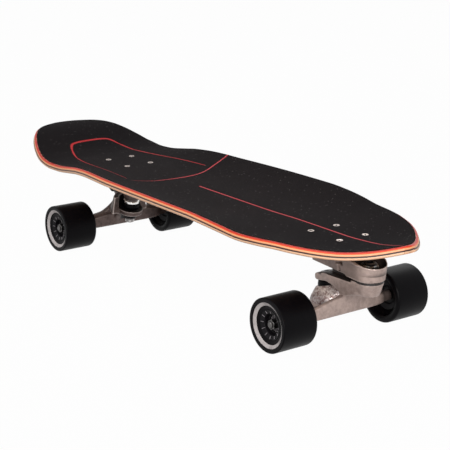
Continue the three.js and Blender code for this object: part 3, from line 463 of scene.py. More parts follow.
def casting_piece(name, distance, low, high, finish, body, node):
    """A cast piece, from its shape's distance."""
    points, faces = skin_of(distance, low, high, CASTING_STEP)
    mesh = bpy.data.meshes.new(name)
    mesh.vertices.add(len(points))
    mesh.vertices.foreach_set("co", (points * MM).astype(np.float32).ravel())
    mesh.loops.add(faces.size)
    mesh.loops.foreach_set("vertex_index", faces.astype(np.int32).ravel())
    mesh.polygons.add(len(faces))
    mesh.polygons.foreach_set("loop_start", np.arange(0, faces.size, 4, dtype=np.int32))
    mesh.update(calc_edges=True)
    mesh.validate()
    tidied(mesh, 0)
    mesh.materials.append(finish)
    settled(new_object(name, mesh), body, (node,))


# Finishes

def paint(red, green, blue):
    """A colour as it shows, 0 to 255, for a shader's socket."""
    shares = [value / 255 for value in (red, green, blue)]
    return tuple(s / 12.92 if s <= 0.04045 else ((s + 0.055) / 1.055) ** 2.4
                 for s in shares) + (1.0,)


class Value:
    """A node's output that Python's operators build Math nodes on."""

    def __init__(self, tree, socket):
        self.tree = tree
        self.socket = socket

    def math(self, operation, *inputs):
        return self.tree.node("ShaderNodeMath", {"operation": operation}, dict(enumerate(inputs)))

    def __add__(self, other):
        return self.math("ADD", self, other)

    def __radd__(self, other):
        return self.math("ADD", other, self)

    def __sub__(self, other):
        return self.math("SUBTRACT", self, other)

    def __rsub__(self, other):
        return self.math("SUBTRACT", other, self)

    def __mul__(self, other):
        return self.math("MULTIPLY", self, other)

    def __rmul__(self, other):
        return self.math("MULTIPLY", other, self)

    def __truediv__(self, other):
        return self.math("DIVIDE", self, other)

    def __rtruediv__(self, other):
        return self.math("DIVIDE", other, self)

    def __pow__(self, other):
        return self.math("POWER", self, other)

    def __abs__(self):
        return self.math("ABSOLUTE", self)

    def least(self, other):
        return self.math("MINIMUM", self, other)

    def most(self, other):
        return self.math("MAXIMUM", self, other)

    def rise(self, low, high):
        """0 below low, 1 above high and smooth between, where high may be the lower of the two."""
        return self.tree.node("ShaderNodeMapRange", {"interpolation_type": "SMOOTHSTEP"},
                              {0: self, 1: low, 2: high, 3: 0.0, 4: 1.0})


class Nodes:
    """A node tree of any kind, empty at first."""

    def __init__(self, tree):
        self.nodes = tree.nodes
        self.links = tree.links
        self.nodes.clear()

    def node(self, kind, settings=None, inputs=None, output=0):
        """An output of a new node, whose inputs are other outputs or plain values."""
        node = self.nodes.new(kind)
        for name, value in (settings or {}).items():
            setattr(node, name, value)
        for key, value in (inputs or {}).items():
            self.feed(node.inputs[key], value)
        return Value(self, node.outputs[output])

    def feed(self, socket, value):
        if isinstance(value, Value):
            self.links.new(value.socket, socket)
        else:
            socket.default_value = value

    def white(self, kind, strength=1.0):
        return self.node(kind, {}, {0: (1, 1, 1, 1), 1: strength})

    def shown(self):
        """1 on the rays of the camera, a mirror or a glass, and 0 on those that light a surface."""
        camera, glossy, through = (self.node("ShaderNodeLightPath", output=f"Is {ray} Ray")
                                   for ray in ("Camera", "Glossy", "Transmission"))
        return camera.most(glossy).most(through)


class Finish(Nodes):
    """One material: its shader and the nodes that feed it."""

    def __init__(self, name, **sockets):
        self.material = bpy.data.materials.new(name)
        self.material.use_nodes = True
        super().__init__(self.material.node_tree)
        self.shader = self.nodes.new("ShaderNodeBsdfPrincipled")
        self.output = self.nodes.new("ShaderNodeOutputMaterial")
        self.links.new(self.shader.outputs[0], self.output.inputs[0])
        self.set(**sockets)
        self.place = self.node("ShaderNodeTexCoord", output="Object")

    def ramp(self, share, stops):
        """A colour from (place, colour) stops along a share from 0 to 1."""
        colour = self.node("ShaderNodeValToRGB", {}, {0: share})
        elements = colour.socket.node.color_ramp.elements
        while len(elements) < len(stops):
            elements.new(1.0)
        for element, (place, tint) in zip(elements, stops):
            element.position = place
            element.color = tint
        return colour

    def measured(self, axis, way):
        """How far the place lies from the origin of an axis in one direction, in metres."""
        x, y, z = (self.parts(self.place, part) for part in "XYZ")
        base = float(np.dot(axis.origin, way)) * MM
        return x * float(way[0]) + y * float(way[1]) + z * float(way[2]) - base

    def set(self, **sockets):
        for name, value in sockets.items():
            self.feed(self.shader.inputs[name.replace("_", " ")], value)

    def noise(self, scale, detail=3.0, roughness=0.5, vector=None, distortion=0.0):
        """Smooth noise from 0 to 1. Scale is in turns per metre."""
        return self.node("ShaderNodeTexNoise", {}, {
            "Vector": vector or self.place, "Scale": scale, "Detail": detail,
            "Roughness": roughness, "Distortion": distortion})

    def cells(self, scale, output="Distance"):
        """Cells round scattered points, as the distance to the point or a colour of the cell."""
        return self.node("ShaderNodeTexVoronoi", {}, {"Vector": self.place, "Scale": scale}, output)

    def stretched(self, scale, turn=(0, 0, 0)):
        return self.node("ShaderNodeMapping", {}, {
            "Vector": self.place, "Scale": scale, "Rotation": turn})

    def mixed(self, share, a, b, blend="MIX"):
        """Two colours mixed by a share."""
        return self.node("ShaderNodeMix", {"data_type": "RGBA", "blend_type": blend},
                         {0: share, 6: a, 7: b}, 2)

    def parts(self, vector, part):
        return self.node("ShaderNodeSeparateXYZ", {}, {0: vector}, part)

    def attribute(self, name):
        return self.node("ShaderNodeAttribute", {"attribute_name": name}, {}, "Fac")

    def edges(self, low, high):
        """Where the surface bulges or sinks: its pointiness is 0.5 where it is flat."""
        return self.node("ShaderNodeNewGeometry", output="Pointiness").rise(low, high)

    def bump(self, height, distance, strength):
        return self.node("ShaderNodeBump", {}, {
            "Height": height, "Distance": distance, "Strength": strength})


def wood_finish():
    """Seven lacquered maple plies: two stained red, one dark, the rest plain."""
    f = Finish("maple_plies", Roughness=0.42, Coat_Roughness=0.2)
    depth = f.attribute("ply_depth")
    run = f.attribute("ply_run")
    rim = f.attribute("ply_rim")
    wander = (f.noise(60, 2) - 0.5) * 0.25
    line = f.node("ShaderNodeCombineXYZ", {}, {0: run * 0.02, 1: depth * 0.9, 2: 0.0})
    fibres = f.noise(9, 5, 0.65, line)
    streaks = f.noise(40, 4, 0.6, line)
    share = (depth + wander) / DECK_THICKNESS
    ply = 1 / 7
    red = paint(206, 38, 12)
    orange = paint(246, 92, 34)
    cream = paint(255, 188, 138)
    tan = paint(238, 168, 120)
    dark = paint(46, 12, 2)
    pale = paint(242, 198, 164)
    plies = f.ramp(share, [
        (0.0, paint(160, 24, 16)), (ply * 1.0, red), (ply * 1.5, orange), (ply * 1.95, orange),
        (ply * 2.15, cream), (ply * 2.9, cream), (ply * 3.0, tan), (ply * 3.4, tan),
        (ply * 3.6, dark), (ply * 4.75, dark), (ply * 4.95, pale), (ply * 5.95, pale),
        (ply * 6.0, tan), (ply * 6.1, pale), (1.0, paint(220, 172, 138)),
    ])
    stained = f.mixed(1.0, plies, paint(190, 140, 110), "MULTIPLY")
    edge = f.mixed(fibres.rise(0.35, 0.75) * 0.34, plies, stained)
    edge = f.mixed(streaks.rise(0.62, 0.8) * 0.22, edge, paint(120, 70, 48))
    board = f.stretched((1.0, 9.0, 9.0))
    rings = f.noise(7, 6, 0.62, board, 0.6)
    pores = f.noise(90, 3, 0.7, f.stretched((0.35, 9.0, 9.0)))
    veneer = f.ramp(rings, [
        (0.25, paint(214, 160, 112)), (0.45, paint(234, 188, 142)),
        (0.6, paint(240, 198, 154)), (0.8, paint(218, 166, 120)),
    ])
    veneer = f.mixed(pores.rise(0.6, 0.78) * 0.3, veneer, paint(150, 98, 62))
    f.set(Base_Color=f.mixed(rim, veneer, edge),
          Roughness=0.36 + fibres * 0.2 + pores * 0.08,
          Coat_Weight=0.06 + (1 - rim) * 0.5,
          Normal=f.bump(streaks * 0.6 + fibres * 0.6, 0.0001, 0.4))
    return f.material


def grip_finish():
    """Black abrasive sheet: packed grains, a few of them bright, and worn a little paler."""
    f = Finish("abrasive_sheet", Roughness=0.9, Specular_IOR_Level=0.08)
    grains = f.cells(1500)
    grit = f.noise(1100, 3, 0.7)
    spark = f.cells(420, output="Color")
    chosen = f.parts(spark, 0).rise(0.955, 0.97) * f.cells(420).rise(0.36, 0.2)
    wear = f.noise(7, 4, 0.6)
    sheet = f.mixed(grit.rise(0.3, 0.72), paint(13, 10, 11), paint(29, 24, 25))
    sheet = f.mixed(wear.rise(0.45, 0.75) * 0.35, sheet, paint(36, 30, 30))
    ends = abs(f.parts(f.place, "X")).rise(0.1, 0.37)
    sheet = f.mixed(ends * 0.75, sheet, paint(9, 6, 8))
    sheet = f.mixed(chosen * 0.22, sheet, paint(150, 142, 138))
    f.set(Base_Color=sheet, Roughness=0.95 - chosen * 0.5,
          Normal=f.bump(grains + grit * 0.6, 0.0003, 0.75))
    return f.material


def line_finish(name, colour, core):
    """Thin printed lines, broken by the grains that they lie on, each painted lighter along its
    centre as a painted sheen.
    """
    f = Finish(name, Roughness=0.75, Specular_IOR_Level=0.3)
    grit = f.noise(1100, 3, 0.7)
    across = abs(f.attribute("across"))
    worn = f.noise(55, 3, 0.6)
    # Painted highlight: the line's centre takes the lighter colour, as a sheen.
    ink = f.mixed(across.rise(0.75, 0.15), colour, core)
    bare = grit.rise(0.5, 0.74) * 0.42 + worn.rise(0.55, 0.8) * 0.18
    ink = f.mixed(bare, ink, paint(70, 24, 27))
    f.set(Base_Color=ink, Roughness=0.6 + grit * 0.3,
          Normal=f.bump(f.cells(1500) + grit * 0.6, 0.0003, 0.6))
    return f.material


def casting_finish(name, pale, deep, bell=None, painted_shade_in=(), boss_shade=False, edge_highlight=0.45):
    """Raw cast aluminium: a pebbled skin and soft stains, with painted shade in its creases and
    painted highlights on its corners. A bell, above a height and behind a place along X, is
    smoother and painted with blotchy highlights, with painted shade down its sides and beside the
    wheels. Each space listed is painted near-black as shade: an axis, two radii and two heights.
    The boss may have its shaded wall too, and a painted shadow in the gap under it."""
    f = Finish(name, Metallic=0.35, Roughness=0.5, Specular_IOR_Level=0.4)
    skin = f.noise(1300, 3, 0.6)
    pebble = f.cells(620)
    stain = f.noise(34, 4, 0.55, distortion=0.3)
    drift = f.noise(150, 4, 0.6)
    spots = f.cells(240).rise(0.2, 0.1) * f.noise(90, 3).rise(0.55, 0.65)
    corner = f.edges(0.505, 0.56)
    hollow = f.edges(0.49, 0.44)
    metal = f.mixed(stain.rise(0.3, 0.7) * 0.6 + drift.rise(0.35, 0.65) * 0.4, deep, pale)
    metal = f.mixed(spots * 0.35, metal, paint(92, 74, 68))
    # Painted shade: creases and hollows are painted darker.
    metal = f.mixed(hollow * 0.4, metal, f.mixed(1.0, metal, paint(120, 104, 98), "MULTIPLY"))
    # Painted highlight: corners are painted paler.
    metal = f.mixed(corner * edge_highlight, metal, paint(222, 208, 202))
    rough = 0.5 - corner * 0.14 + (stain - 0.5) * 0.2 + (skin - 0.5) * 0.15
    shine = 0.35 + corner * 0.3
    x, y, z = (f.parts(f.place, part) for part in "XYZ")
    if bell:
        low, nose = bell
        on_bell = z.rise((low - 1) * MM, low * MM) * x.rise((nose + 0.4) * MM, (nose - 0.4) * MM)
        # Painted highlights: the bell's bright blotches stand for reflections, and its roughness is
        # lowered too.
        blotch = f.noise(300, 3, 0.55, distortion=0.5)
        bright = f.mixed(blotch.rise(0.36, 0.62), paint(158, 132, 128), paint(255, 246, 243))
        bright = f.mixed(drift.rise(0.35, 0.7) * 0.3, bright, paint(130, 106, 104))
        # Painted shade: the bell's sides are painted darker.
        side = abs(y).rise(0.018, 0.025)
        bright = f.mixed(side * 0.6, bright, paint(88, 66, 66))
        metal = f.mixed(on_bell, metal, bright)
        rough = rough - on_bell * 0.18
        # Painted shadow: the hanger is painted dark next to the wheels, where they shade it.
        beside_wheel = abs(y).rise(0.052, 0.068)
        metal = f.mixed(beside_wheel * 0.8, metal, paint(46, 36, 35))
    blur = 0.3
    # Painted shade: each listed space is painted near-black for the deep shade in it.
    for axis, bore, radius, low, high in painted_shade_in:
        a, b, h = (f.measured(axis, part) for part in (axis.u, axis.v, axis.w))
        reach = (a * a + b * b) ** 0.5
        inside = reach.rise((radius + blur) * MM, (radius - blur) * MM)
        if bore:
            inside = inside * reach.rise((bore - blur) * MM, (bore + blur) * MM)
        inside = inside * h.rise((low - blur) * MM, (low + blur) * MM)
        inside = inside * h.rise((high + blur) * MM, (high - blur) * MM)
        metal = f.mixed(inside * 0.96, metal, paint(10, 7, 9))
        rough = rough.least(1 - inside * 0.5)
        shine = shine.least(1 - inside)
    if boss_shade:
        wall = x.rise(0.352, 0.334) * z.rise(0.0868, 0.0876)
        metal = f.mixed(wall * 0.5, metal, paint(84, 68, 62))
        # Painted shadow: the gap between the arm's top and the boss is painted near-black.
        facing = f.parts(f.node("ShaderNodeNewGeometry", output="Normal"), "Z")
        within = facing.rise(0.35, 0.75).most(abs(y).rise(0.0185, 0.0175))
        gap = within * z.rise(0.0735, 0.0765) * z.rise(0.0905, 0.0895) * x.rise(0.337, 0.332)
        metal = f.mixed(gap * 0.93, metal, paint(12, 8, 9))
    f.set(Base_Color=metal, Roughness=rough, Metallic=shine,
          Normal=f.bump(pebble * 0.6 + skin * 0.9 + drift * 2.2, 0.0003, 0.7))
    return f.material


def steel_finish(name, colour, roughness, warm=paint(176, 158, 132), edge_highlight=0.7):
    """Plated steel with turning marks, fine scratches and a slightly warm bloom, with painted
    highlights on its edges and painted shade in its hollows.
    """
    f = Finish(name, Metallic=1.0, Roughness=roughness)
    bloom = f.noise(160, 4, 0.6)
    scratch = f.noise(260, 4, 0.7, f.stretched((1.0, 11.0, 3.0), turn=(0.3, 0.5, 0.9)))
    corner = f.edges(0.52, 0.6)
    metal = f.mixed(bloom.rise(0.45, 0.8) * 0.35, colour, warm)
    hollow = f.edges(0.48, 0.42)
    # Painted highlight: edges are painted paler.
    metal = f.mixed(corner * edge_highlight, metal, paint(236, 232, 230))
    # Painted shade: hollows, such as a cross recess, are painted dark.
    metal = f.mixed(hollow * 0.85, metal, paint(30, 25, 24))
    f.set(Base_Color=metal, Roughness=roughness + bloom * 0.16 + scratch.rise(0.55, 0.8) * 0.12,
          Normal=f.bump(scratch, 0.00005, 0.35))
    return f.material


def black_steel_finish():
    f = Finish("black_oxide", Metallic=0.9, Roughness=0.24)
    wear = f.noise(300, 4, 0.65)
    corner = f.edges(0.52, 0.6)
    f.set(Base_Color=f.mixed(corner * 0.5 + wear.rise(0.62, 0.8) * 0.2, paint(38, 35, 40),
                             paint(150, 142, 140)),
          Roughness=0.2 + wear * 0.18, Normal=f.bump(wear, 0.0001, 0.3))
    return f.material


def urethane_finish(name="cast_urethane", colour=paint(4, 3, 5), roughness=0.34):
    """Poured urethane: smooth, with a faint orange peel and a dusting of handling marks."""
    f = Finish(name, Roughness=roughness, Specular_IOR_Level=0.07)
    peel = f.noise(240, 2, 0.5)
    dust = f.noise(70, 5, 0.7)
    marks = f.noise(30, 4, 0.7, f.stretched((1.0, 6.0, 1.0)))
    tone = f.mixed(dust.rise(0.5, 0.85) * 0.12, colour, paint(34, 30, 34))
    f.set(Base_Color=tone, Roughness=roughness + dust * 0.12 + marks.rise(0.6, 0.8) * 0.1,
          Normal=f.bump(peel, 0.00016, 0.22))
    return f.material


def print_finish():
    """The silver ring that is printed on a wheel's face, with a fine grain."""
    f = Finish("silver_print", Metallic=0.3, Roughness=0.4)
    grain = f.noise(900, 3, 0.7)
    rub = f.noise(90, 4, 0.65)
    tone = f.mixed(rub.rise(0.4, 0.7) * 0.4, paint(186, 179, 178), paint(120, 113, 113))
    f.set(Base_Color=f.mixed(grain.rise(0.6, 0.85) * 0.25, tone, paint(120, 114, 114)),
          Roughness=0.3 + grain * 0.16 + rub * 0.1, Normal=f.bump(grain, 0.00008, 0.4))
    return f.material


def plastic_finish(name, colour, roughness):
    """Moulded plastic with a fine spark-eroded texture."""
    f = Finish(name, Roughness=roughness, Specular_IOR_Level=0.12)
    texture = f.noise(1800, 3, 0.65)
    tone = f.noise(60, 3, 0.6)
    f.set(Base_Color=f.mixed(tone.rise(0.4, 0.75) * 0.12, colour, paint(40, 38, 42)),
          Roughness=roughness + texture * 0.14, Normal=f.bump(texture, 0.00014, 0.5))
    return f.material


# Deck

def deck_top(x, y):
    """Height of the deck's top face, with its kicks, its sag and its concave."""
    share = np.asarray(x, float) / (DECK_LENGTH / 2)
    reach = np.maximum(0, np.abs(y) - FLAT_HALF_WIDTH) / (DECK_WIDTH / 2 - FLAT_HALF_WIDTH)
    return (DECK_TOP + TAIL_KICK * along(TAIL_SHARES, share) + NOSE_KICK * along(NOSE_SHARES, share)
            - BELLY_SAG * along(SAG_SHARES, share)
            + CONCAVE * along(CONCAVE_SHARES, share) * reach * reach)


def on_deck(x, y, height):
    """Points at a height along the normal of the deck's top face."""
    step = 0.5
    x, y = np.asarray(x, float), np.asarray(y, float)
    slope_x = (deck_top(x + step, y) - deck_top(x - step, y)) / (2 * step)
    slope_y = (deck_top(x, y + step) - deck_top(x, y - step)) / (2 * step)
    normal = np.stack([-slope_x, -slope_y, np.ones_like(slope_x)], -1)
    normal /= np.linalg.norm(normal, axis=-1, keepdims=True)
    return np.stack([x, y, deck_top(x, y)], -1) + normal * np.asarray(height, float)[..., None]


def outline_run(count):
    """Points of the outline's left half from tail to nose, closer at both ends, with the edge's
    direction and the length of edge up to each of them."""
    left = [(a * DECK_LENGTH / 2, b * DECK_WIDTH / 2) for a, b in OUTLINE_SHARES]
    loop = np.array(left + [(a, -b) for a, b in left[-2:0:-1]])
    total = len(loop)
    pieces = []
    for i in range(len(left) - 1):
        p = [loop[(i + k) % total] for k in (-1, 0, 1, 2)]
        d = [max(np.hypot(*(p[k + 1] - p[k])) ** 0.5, 1e-4) for k in range(3)]
        t1 = (p[1] - p[0]) / d[0] - (p[2] - p[0]) / (d[0] + d[1]) + (p[2] - p[1]) / d[1]
        t2 = (p[2] - p[1]) / d[1] - (p[3] - p[1]) / (d[1] + d[2]) + (p[3] - p[2]) / d[2]
        t1, t2 = t1 * d[1], t2 * d[1]
        s = np.linspace(0, 1, 60, endpoint=False)[:, None]
        pieces.append(p[1] + t1 * s + (-3 * p[1] + 3 * p[2] - 2 * t1 - t2) * s * s
                      + (2 * p[1] - 2 * p[2] + t1 + t2) * s ** 3)
    fine = np.concatenate(pieces + [loop[len(left) - 1][None]])
    length = np.concatenate([[0], np.cumsum(np.hypot(*np.diff(fine, axis=0).T))])
    share = np.linspace(0, 1, count)
    at = (share + (1 - np.cos(math.pi * share)) / 2) / 2 * length[-1]
    x, y = np.interp(at, length, fine[:, 0]), np.interp(at, length, fine[:, 1])
    tx = np.interp(at + 0.4, length, fine[:, 0]) - np.interp(at - 0.4, length, fine[:, 0])
    ty = np.interp(at + 0.4, length, fine[:, 1]) - np.interp(at - 0.4, length, fine[:, 1])
    size = np.hypot(tx, ty)
    run = np.stack([tx / size, ty / size], -1)
    run[0], run[-1] = (0, 1), (0, -1)
    return np.stack([x, y], -1), run, at


EDGE_POINTS = 170
COLUMNS = 36
EDGE, EDGE_TANGENT, EDGE_LENGTH = outline_run(EDGE_POINTS)


def edge_at(inset):
    """The left half of the outline moved in by an inset, one for all or one for each point."""
    moved = np.stack([EDGE[:, 0] + EDGE_TANGENT[:, 1] * inset,
                      EDGE[:, 1] - EDGE_TANGENT[:, 0] * inset], -1)
    moved[0, 1] = moved[-1, 1] = 0
    return moved


# How far the rim leans out below the kicks
RIM_FLARE = [(-1, 2.9), (-0.86, 2.7), (-0.7, 1.4), (-0.5, 0.3), (-0.3, 0), (0.5, 0), (0.72, 0.8),
             (0.88, 2.4), (1, 2.9)]


def leaned(inset, height):
    """An inset less what the rim leans out by at a height below the top."""
    lean = along(RIM_FLARE, EDGE[:, 0] / (DECK_LENGTH / 2))
    return inset + lean * np.minimum(height, 0) / DECK_THICKNESS


def deck_sheet(top, steps, bottom):
    """Points and faces of a sheet that follows the deck: its top, its rim steps and its underside.
    The marks of each point are its depth, its place round the rim and 1 on the rim."""
    points, marks, faces = [], [], []

    def add(x, y, height, run, rim):
        start = sum(len(p) for p in points)
        points.append(on_deck(x, y, np.full(x.size, height)))
        marks.append(np.stack([np.full(x.size, -height), run, np.full(x.size, rim)], -1))
        return start + np.arange(len(x))

    def face_of(height, up):
        edge = edge_at(leaned(GRIP_INSET, height))
        share = np.linspace(-1, 1, COLUMNS + 1)
        x = np.repeat(edge[1:-1, :1], COLUMNS + 1, 1)
        y = edge[1:-1, 1:] * share
        run = np.repeat(EDGE_LENGTH[1:-1, None], COLUMNS + 1, 1) * np.where(share < 0, -1, 1)
        grid = add(x.ravel(), y.ravel(), height, run.ravel(), 0.0).reshape(x.shape)
        tail, nose = (add(edge[[end], 0], np.zeros(1), height, EDGE_LENGTH[[end]], 0.0)[0]
                      for end in (0, -1))
        new = []
        for k in range(COLUMNS):
            new.append((tail, grid[0, k], grid[0, k + 1]))
            new.append((nose, grid[-1, k + 1], grid[-1, k]))
        new += grid_faces(grid)
        faces.extend(face if up else face[::-1] for face in new)

    def ring(inset, height):
        edge = edge_at(leaned(inset, height))
        x = np.concatenate([edge[:, 0], edge[-2:0:-1, 0]])
        y = np.concatenate([edge[:, 1], -edge[-2:0:-1, 1]])
        run = np.concatenate([EDGE_LENGTH, -EDGE_LENGTH[-2:0:-1]])
        return add(x, y, height, run, 1.0)

    face_of(top, True)
    rings = [ring(inset, height) for inset, height in steps]
    for a, b in zip(rings[:-1], rings[1:]):
        faces.extend(zip(a, b, np.roll(b, -1), np.roll(a, -1)))
    face_of(bottom, False)
    return np.concatenate(points), faces, np.concatenate(marks)


def rim_arc(low, high, upward):
    """Steps round an edge between two heights, as (inset, height) rows from the top down.
    It turns from the top face to the side, or upward from the underside."""
    rows = []
    for angle in np.linspace(0, math.pi / 2, 7):
        height = high - (high - low) * (1 - math.cos(angle))
        rows.append((GRIP_INSET * (1 - math.sin(angle)), height))
    if upward:
        return [(inset, low + high - height) for inset, height in rows[::-1]]
    return rows


def marked(mesh, names, values):
    for name, column in zip(names, np.asarray(values, np.float32).T):
        layer = mesh.attributes.new(name, "FLOAT", "POINT")
        layer.data.foreach_set("value", np.ascontiguousarray(column))


def make_sheet(name, top, steps, bottom, finish, node, layers=()):
    """A piece that follows the deck, with its marks kept as the named layers."""
    points, faces, marks = deck_sheet(top, steps, bottom)
    mesh = mesh_from(name, points, faces)
    marked(mesh, layers, marks)
    tidied(mesh, 50)
    mesh.materials.append(finish)
    settled(new_object(name, mesh), "board", (node,))


def make_deck(wood, grip):
    low = EDGE_ROUND - DECK_THICKNESS
    side = [(0.0, height) for height in np.linspace(-EDGE_ROUND, low, 9)[1:-1]]
    steps = rim_arc(-EDGE_ROUND, 0, False) + side + rim_arc(-DECK_THICKNESS, low, True)
    make_sheet("deck_plies", 0, steps, -DECK_THICKNESS, wood, "deck",
               ("ply_depth", "ply_run", "ply_rim"))
    glue = 0.02
    steps = [(GRIP_INSET, GRIP_THICKNESS), (GRIP_INSET - 0.05, GRIP_THICKNESS - 0.3),
             (GRIP_INSET, glue)]
    make_sheet("grip_sheet", GRIP_THICKNESS, steps, glue, grip, "grip")


def smooth_path(points):
    """A curve through points, drawn every 2 mm, with its share from 0 to 1."""
    p = np.array(points, float)
    p = np.concatenate([[2 * p[0] - p[1]], p, [2 * p[-1] - p[-2]]])
    fine = []
    for i in range(1, len(p) - 2):
        s = np.linspace(0, 1, 40, endpoint=False)[:, None]
        a, b, c, d = p[i - 1], p[i], p[i + 1], p[i + 2]
        fine.append(0.5 * (2 * b + (c - a) * s + (2 * a - 5 * b + 4 * c - d) * s * s
                           + (3 * b - a - 3 * c + d) * s ** 3))
    fine = np.concatenate(fine + [p[-2][None]])
    length = np.concatenate([[0], np.cumsum(np.linalg.norm(np.diff(fine, axis=0), axis=1))])
    count = max(4, int(length[-1] / 2.0))
    at = np.linspace(0, length[-1], count)
    out = np.stack([np.interp(at, length, column) for column in fine.T], -1)
    return out, at / length[-1]


def make_line(name, path, widths, finish):
    """A printed line that lies on the grip. Widths are (share of the run, full width) rows."""
    centre, share = smooth_path(path)
    run = np.gradient(centre, axis=0)
    run /= np.linalg.norm(run, axis=1, keepdims=True)
    half = along(widths, share) / 2
    places = (-1, -0.5, 0, 0.5, 1)
    rows = []
    for s in places:
        x = centre[:, 0] - run[:, 1] * half * s
        y = centre[:, 1] + run[:, 0] * half * s
        rows.append(on_deck(x, y, np.full(x.shape, GRIP_THICKNESS + 0.06 - 0.05 * abs(s))))
    grid = np.stack(rows, 1)
    index = np.arange(grid[..., 0].size).reshape(grid.shape[:2])
    mesh = mesh_from(name, grid.reshape(-1, 3), grid_faces(index))
    marked(mesh, ("across",), np.tile(places, len(grid))[:, None])
    mesh.polygons.foreach_set("use_smooth", [True] * len(mesh.polygons))
    if mesh.polygons[0].normal.z < 0:
        mesh.flip_normals()
    mesh.materials.append(finish)
    settled(new_object(name, mesh), "board")


# The loop round the tail, the arc and the long line, as places along and across the deck
TAIL_LOOP = [(-101, 71), (-170, 63), (-230, 53.5), (-290, 44), (-315, 36), (-322, 24), (-323, 0),
             (-321, -25), (-312, -38), (-275, -52), (-230, -60), (-160, -63), (-101, -66)]
ARC = [(-101, 113), (-91, 82), (-77, 48), (-71.5, 14), (-75, -24), (-84, -50), (-92, -66)]
STRINGER = [(-14, 0), (110, 0), (250, 0), (401, 0)]


def make_lines():
    # Each line's second colour is its lighter centre, a painted sheen.
    loop = line_finish("red_line", paint(150, 12, 20), paint(182, 24, 30))
    thin = line_finish("pale_red_line", paint(164, 26, 34), paint(198, 76, 84))
    make_line("tail_loop_line", TAIL_LOOP,
              [(0, 1.4), (0.2, 2.2), (0.4, 3.6), (0.46, 4.2), (0.56, 4.4), (0.62, 3.2), (0.7, 1.8),
               (0.85, 1.0), (1, 0.7)], loop)
    make_line("arc_line", ARC, [(0, 3.0), (0.5, 3.0), (0.75, 1.8), (1, 0.4)], thin)
    make_line("stringer_line", STRINGER, [(0, 2.8), (0.8, 2.6), (0.9, 2.0), (1, 1.4)], thin)


# Wheels

def wheel_rows():
    """A tyre's profile from the core outwards and back, on the outer half and then the inner."""
    half, radius = WHEEL_HALF_WIDTH, WHEEL_RADIUS
    outer = [
        (19.3, half - 9, 0.6), (19.3, half - 5.2, 0.3), (23.4, half - 4.3, 0.6),
        (24.2, half - 3.3, 0.3), (28.6, half - 0.9, 0.4), (29.2, half + 0.2, 0.5),
        (radius - 0.9, half + 0.4, 0.8), (radius, half - 0.6, 0.9),
    ]
    inner = [
        (radius, 2.4 - half, 3.0), (radius - 1.0, 0.4 - half, 1.8),
        (radius - 3.4, -0.4 - half, 1.6), (28.6, -0.3 - half, 0.8), (25.6, 1.4 - half, 0.8),
        (23.6, 4.6 - half, 1.2), (19.3, 9 - half, 0.6),
    ]
    return outer + inner


def core_rows():
    """The core's profile: two bearing seats, a ring wall and a dished outer face."""
    seat, depth = 11.2, 12.3
    return [
        (9, 4.7), (seat, 4.7, 0.3), (seat, depth, 0.4), (12.8, depth + 0.6, 0.4),
        (13.4, 18.6, 0.5), (14.2, 19.3, 0.5), (19.0, 20.9, 0.4), (19.1, 16.0), (19.1, -15.4, 0.5),
        (17.8, -15.0, 0.4), (13.4, -13.6, 0.5), (12.6, -depth - 1.1, 0.5), (seat, -depth, 0.4),
        (seat, -4.7, 0.3), (9, -4.7),
    ]


def bearing_parts(start, side):
    """A shielded bearing: outer race, inner race and a dished shield between them."""
    def row(r, h, rounding=0.0):
        return (r, start + side * h, rounding)
    outer = [row(9.5, 0.1), row(9.6, 7), row(10.6, 7, 0.35), row(10.9, 6.6, 0.3), row(10.9, 0, 0.4)]
    shield = [row(6.4, 6.1), row(6.6, 6.6, 0.2), row(7.6, 6.4, 0.3), row(9.0, 6.4, 0.3),
              row(9.45, 6.7, 0.15), row(9.45, 6.0)]
    inner = [row(4.3, 0), row(4.3, 7, 0.3), row(6.1, 7, 0.3), row(6.2, 0)]
    return outer, shield, inner


def make_wheel(name, x, side, finishes, ribs):
    """A tyre on its core, the printed ring on its face, and a bearing at each side."""
    axis = crosswise(x, side * WHEEL_Y, side)
    half = WHEEL_HALF_WIDTH
    ring = [(24.3, half - 3.25), (24.3, half - 3.15, 0.02), (28.5, half - 0.84, 0.02),
            (28.5, half - 0.97)]
    parts = [
        ("tyre_cast", turned(wheel_rows(), axis, 112), "urethane", "urethane", "tyre", 40),
        ("face_ring", turned(ring, axis, 112), "print", "core", None, 40),
        ("core_moulded", turned(core_rows(), axis, 72), "core", "core", "core", 30),
        ("core_ribs", (axis.placed(ribs[0]), ribs[1]), "ribs", "core", None, 30),
    ]
    for place, start, way in (("outer", 5, 1), ("inner", -5, -1)):
        outer, shield, inner = (turned(rows, axis, 56) for rows in bearing_parts(start, way))
        parts += [
            (f"{place}_races", joined([outer, inner]), f"{place} race", "steel",
             f"bearing_{place}", 30),
            (f"{place}_shield", shield, f"{place} shield", "steel", None, 30),
        ]
    for part, shape, finish, slot, node, crease in parts:
        finished(f"{name}_{part}", shape, finishes[finish], f"{name}_wheel",
                 (f"{name}_{node}",) if node else (), crease)


# Repeats, as geometry nodes

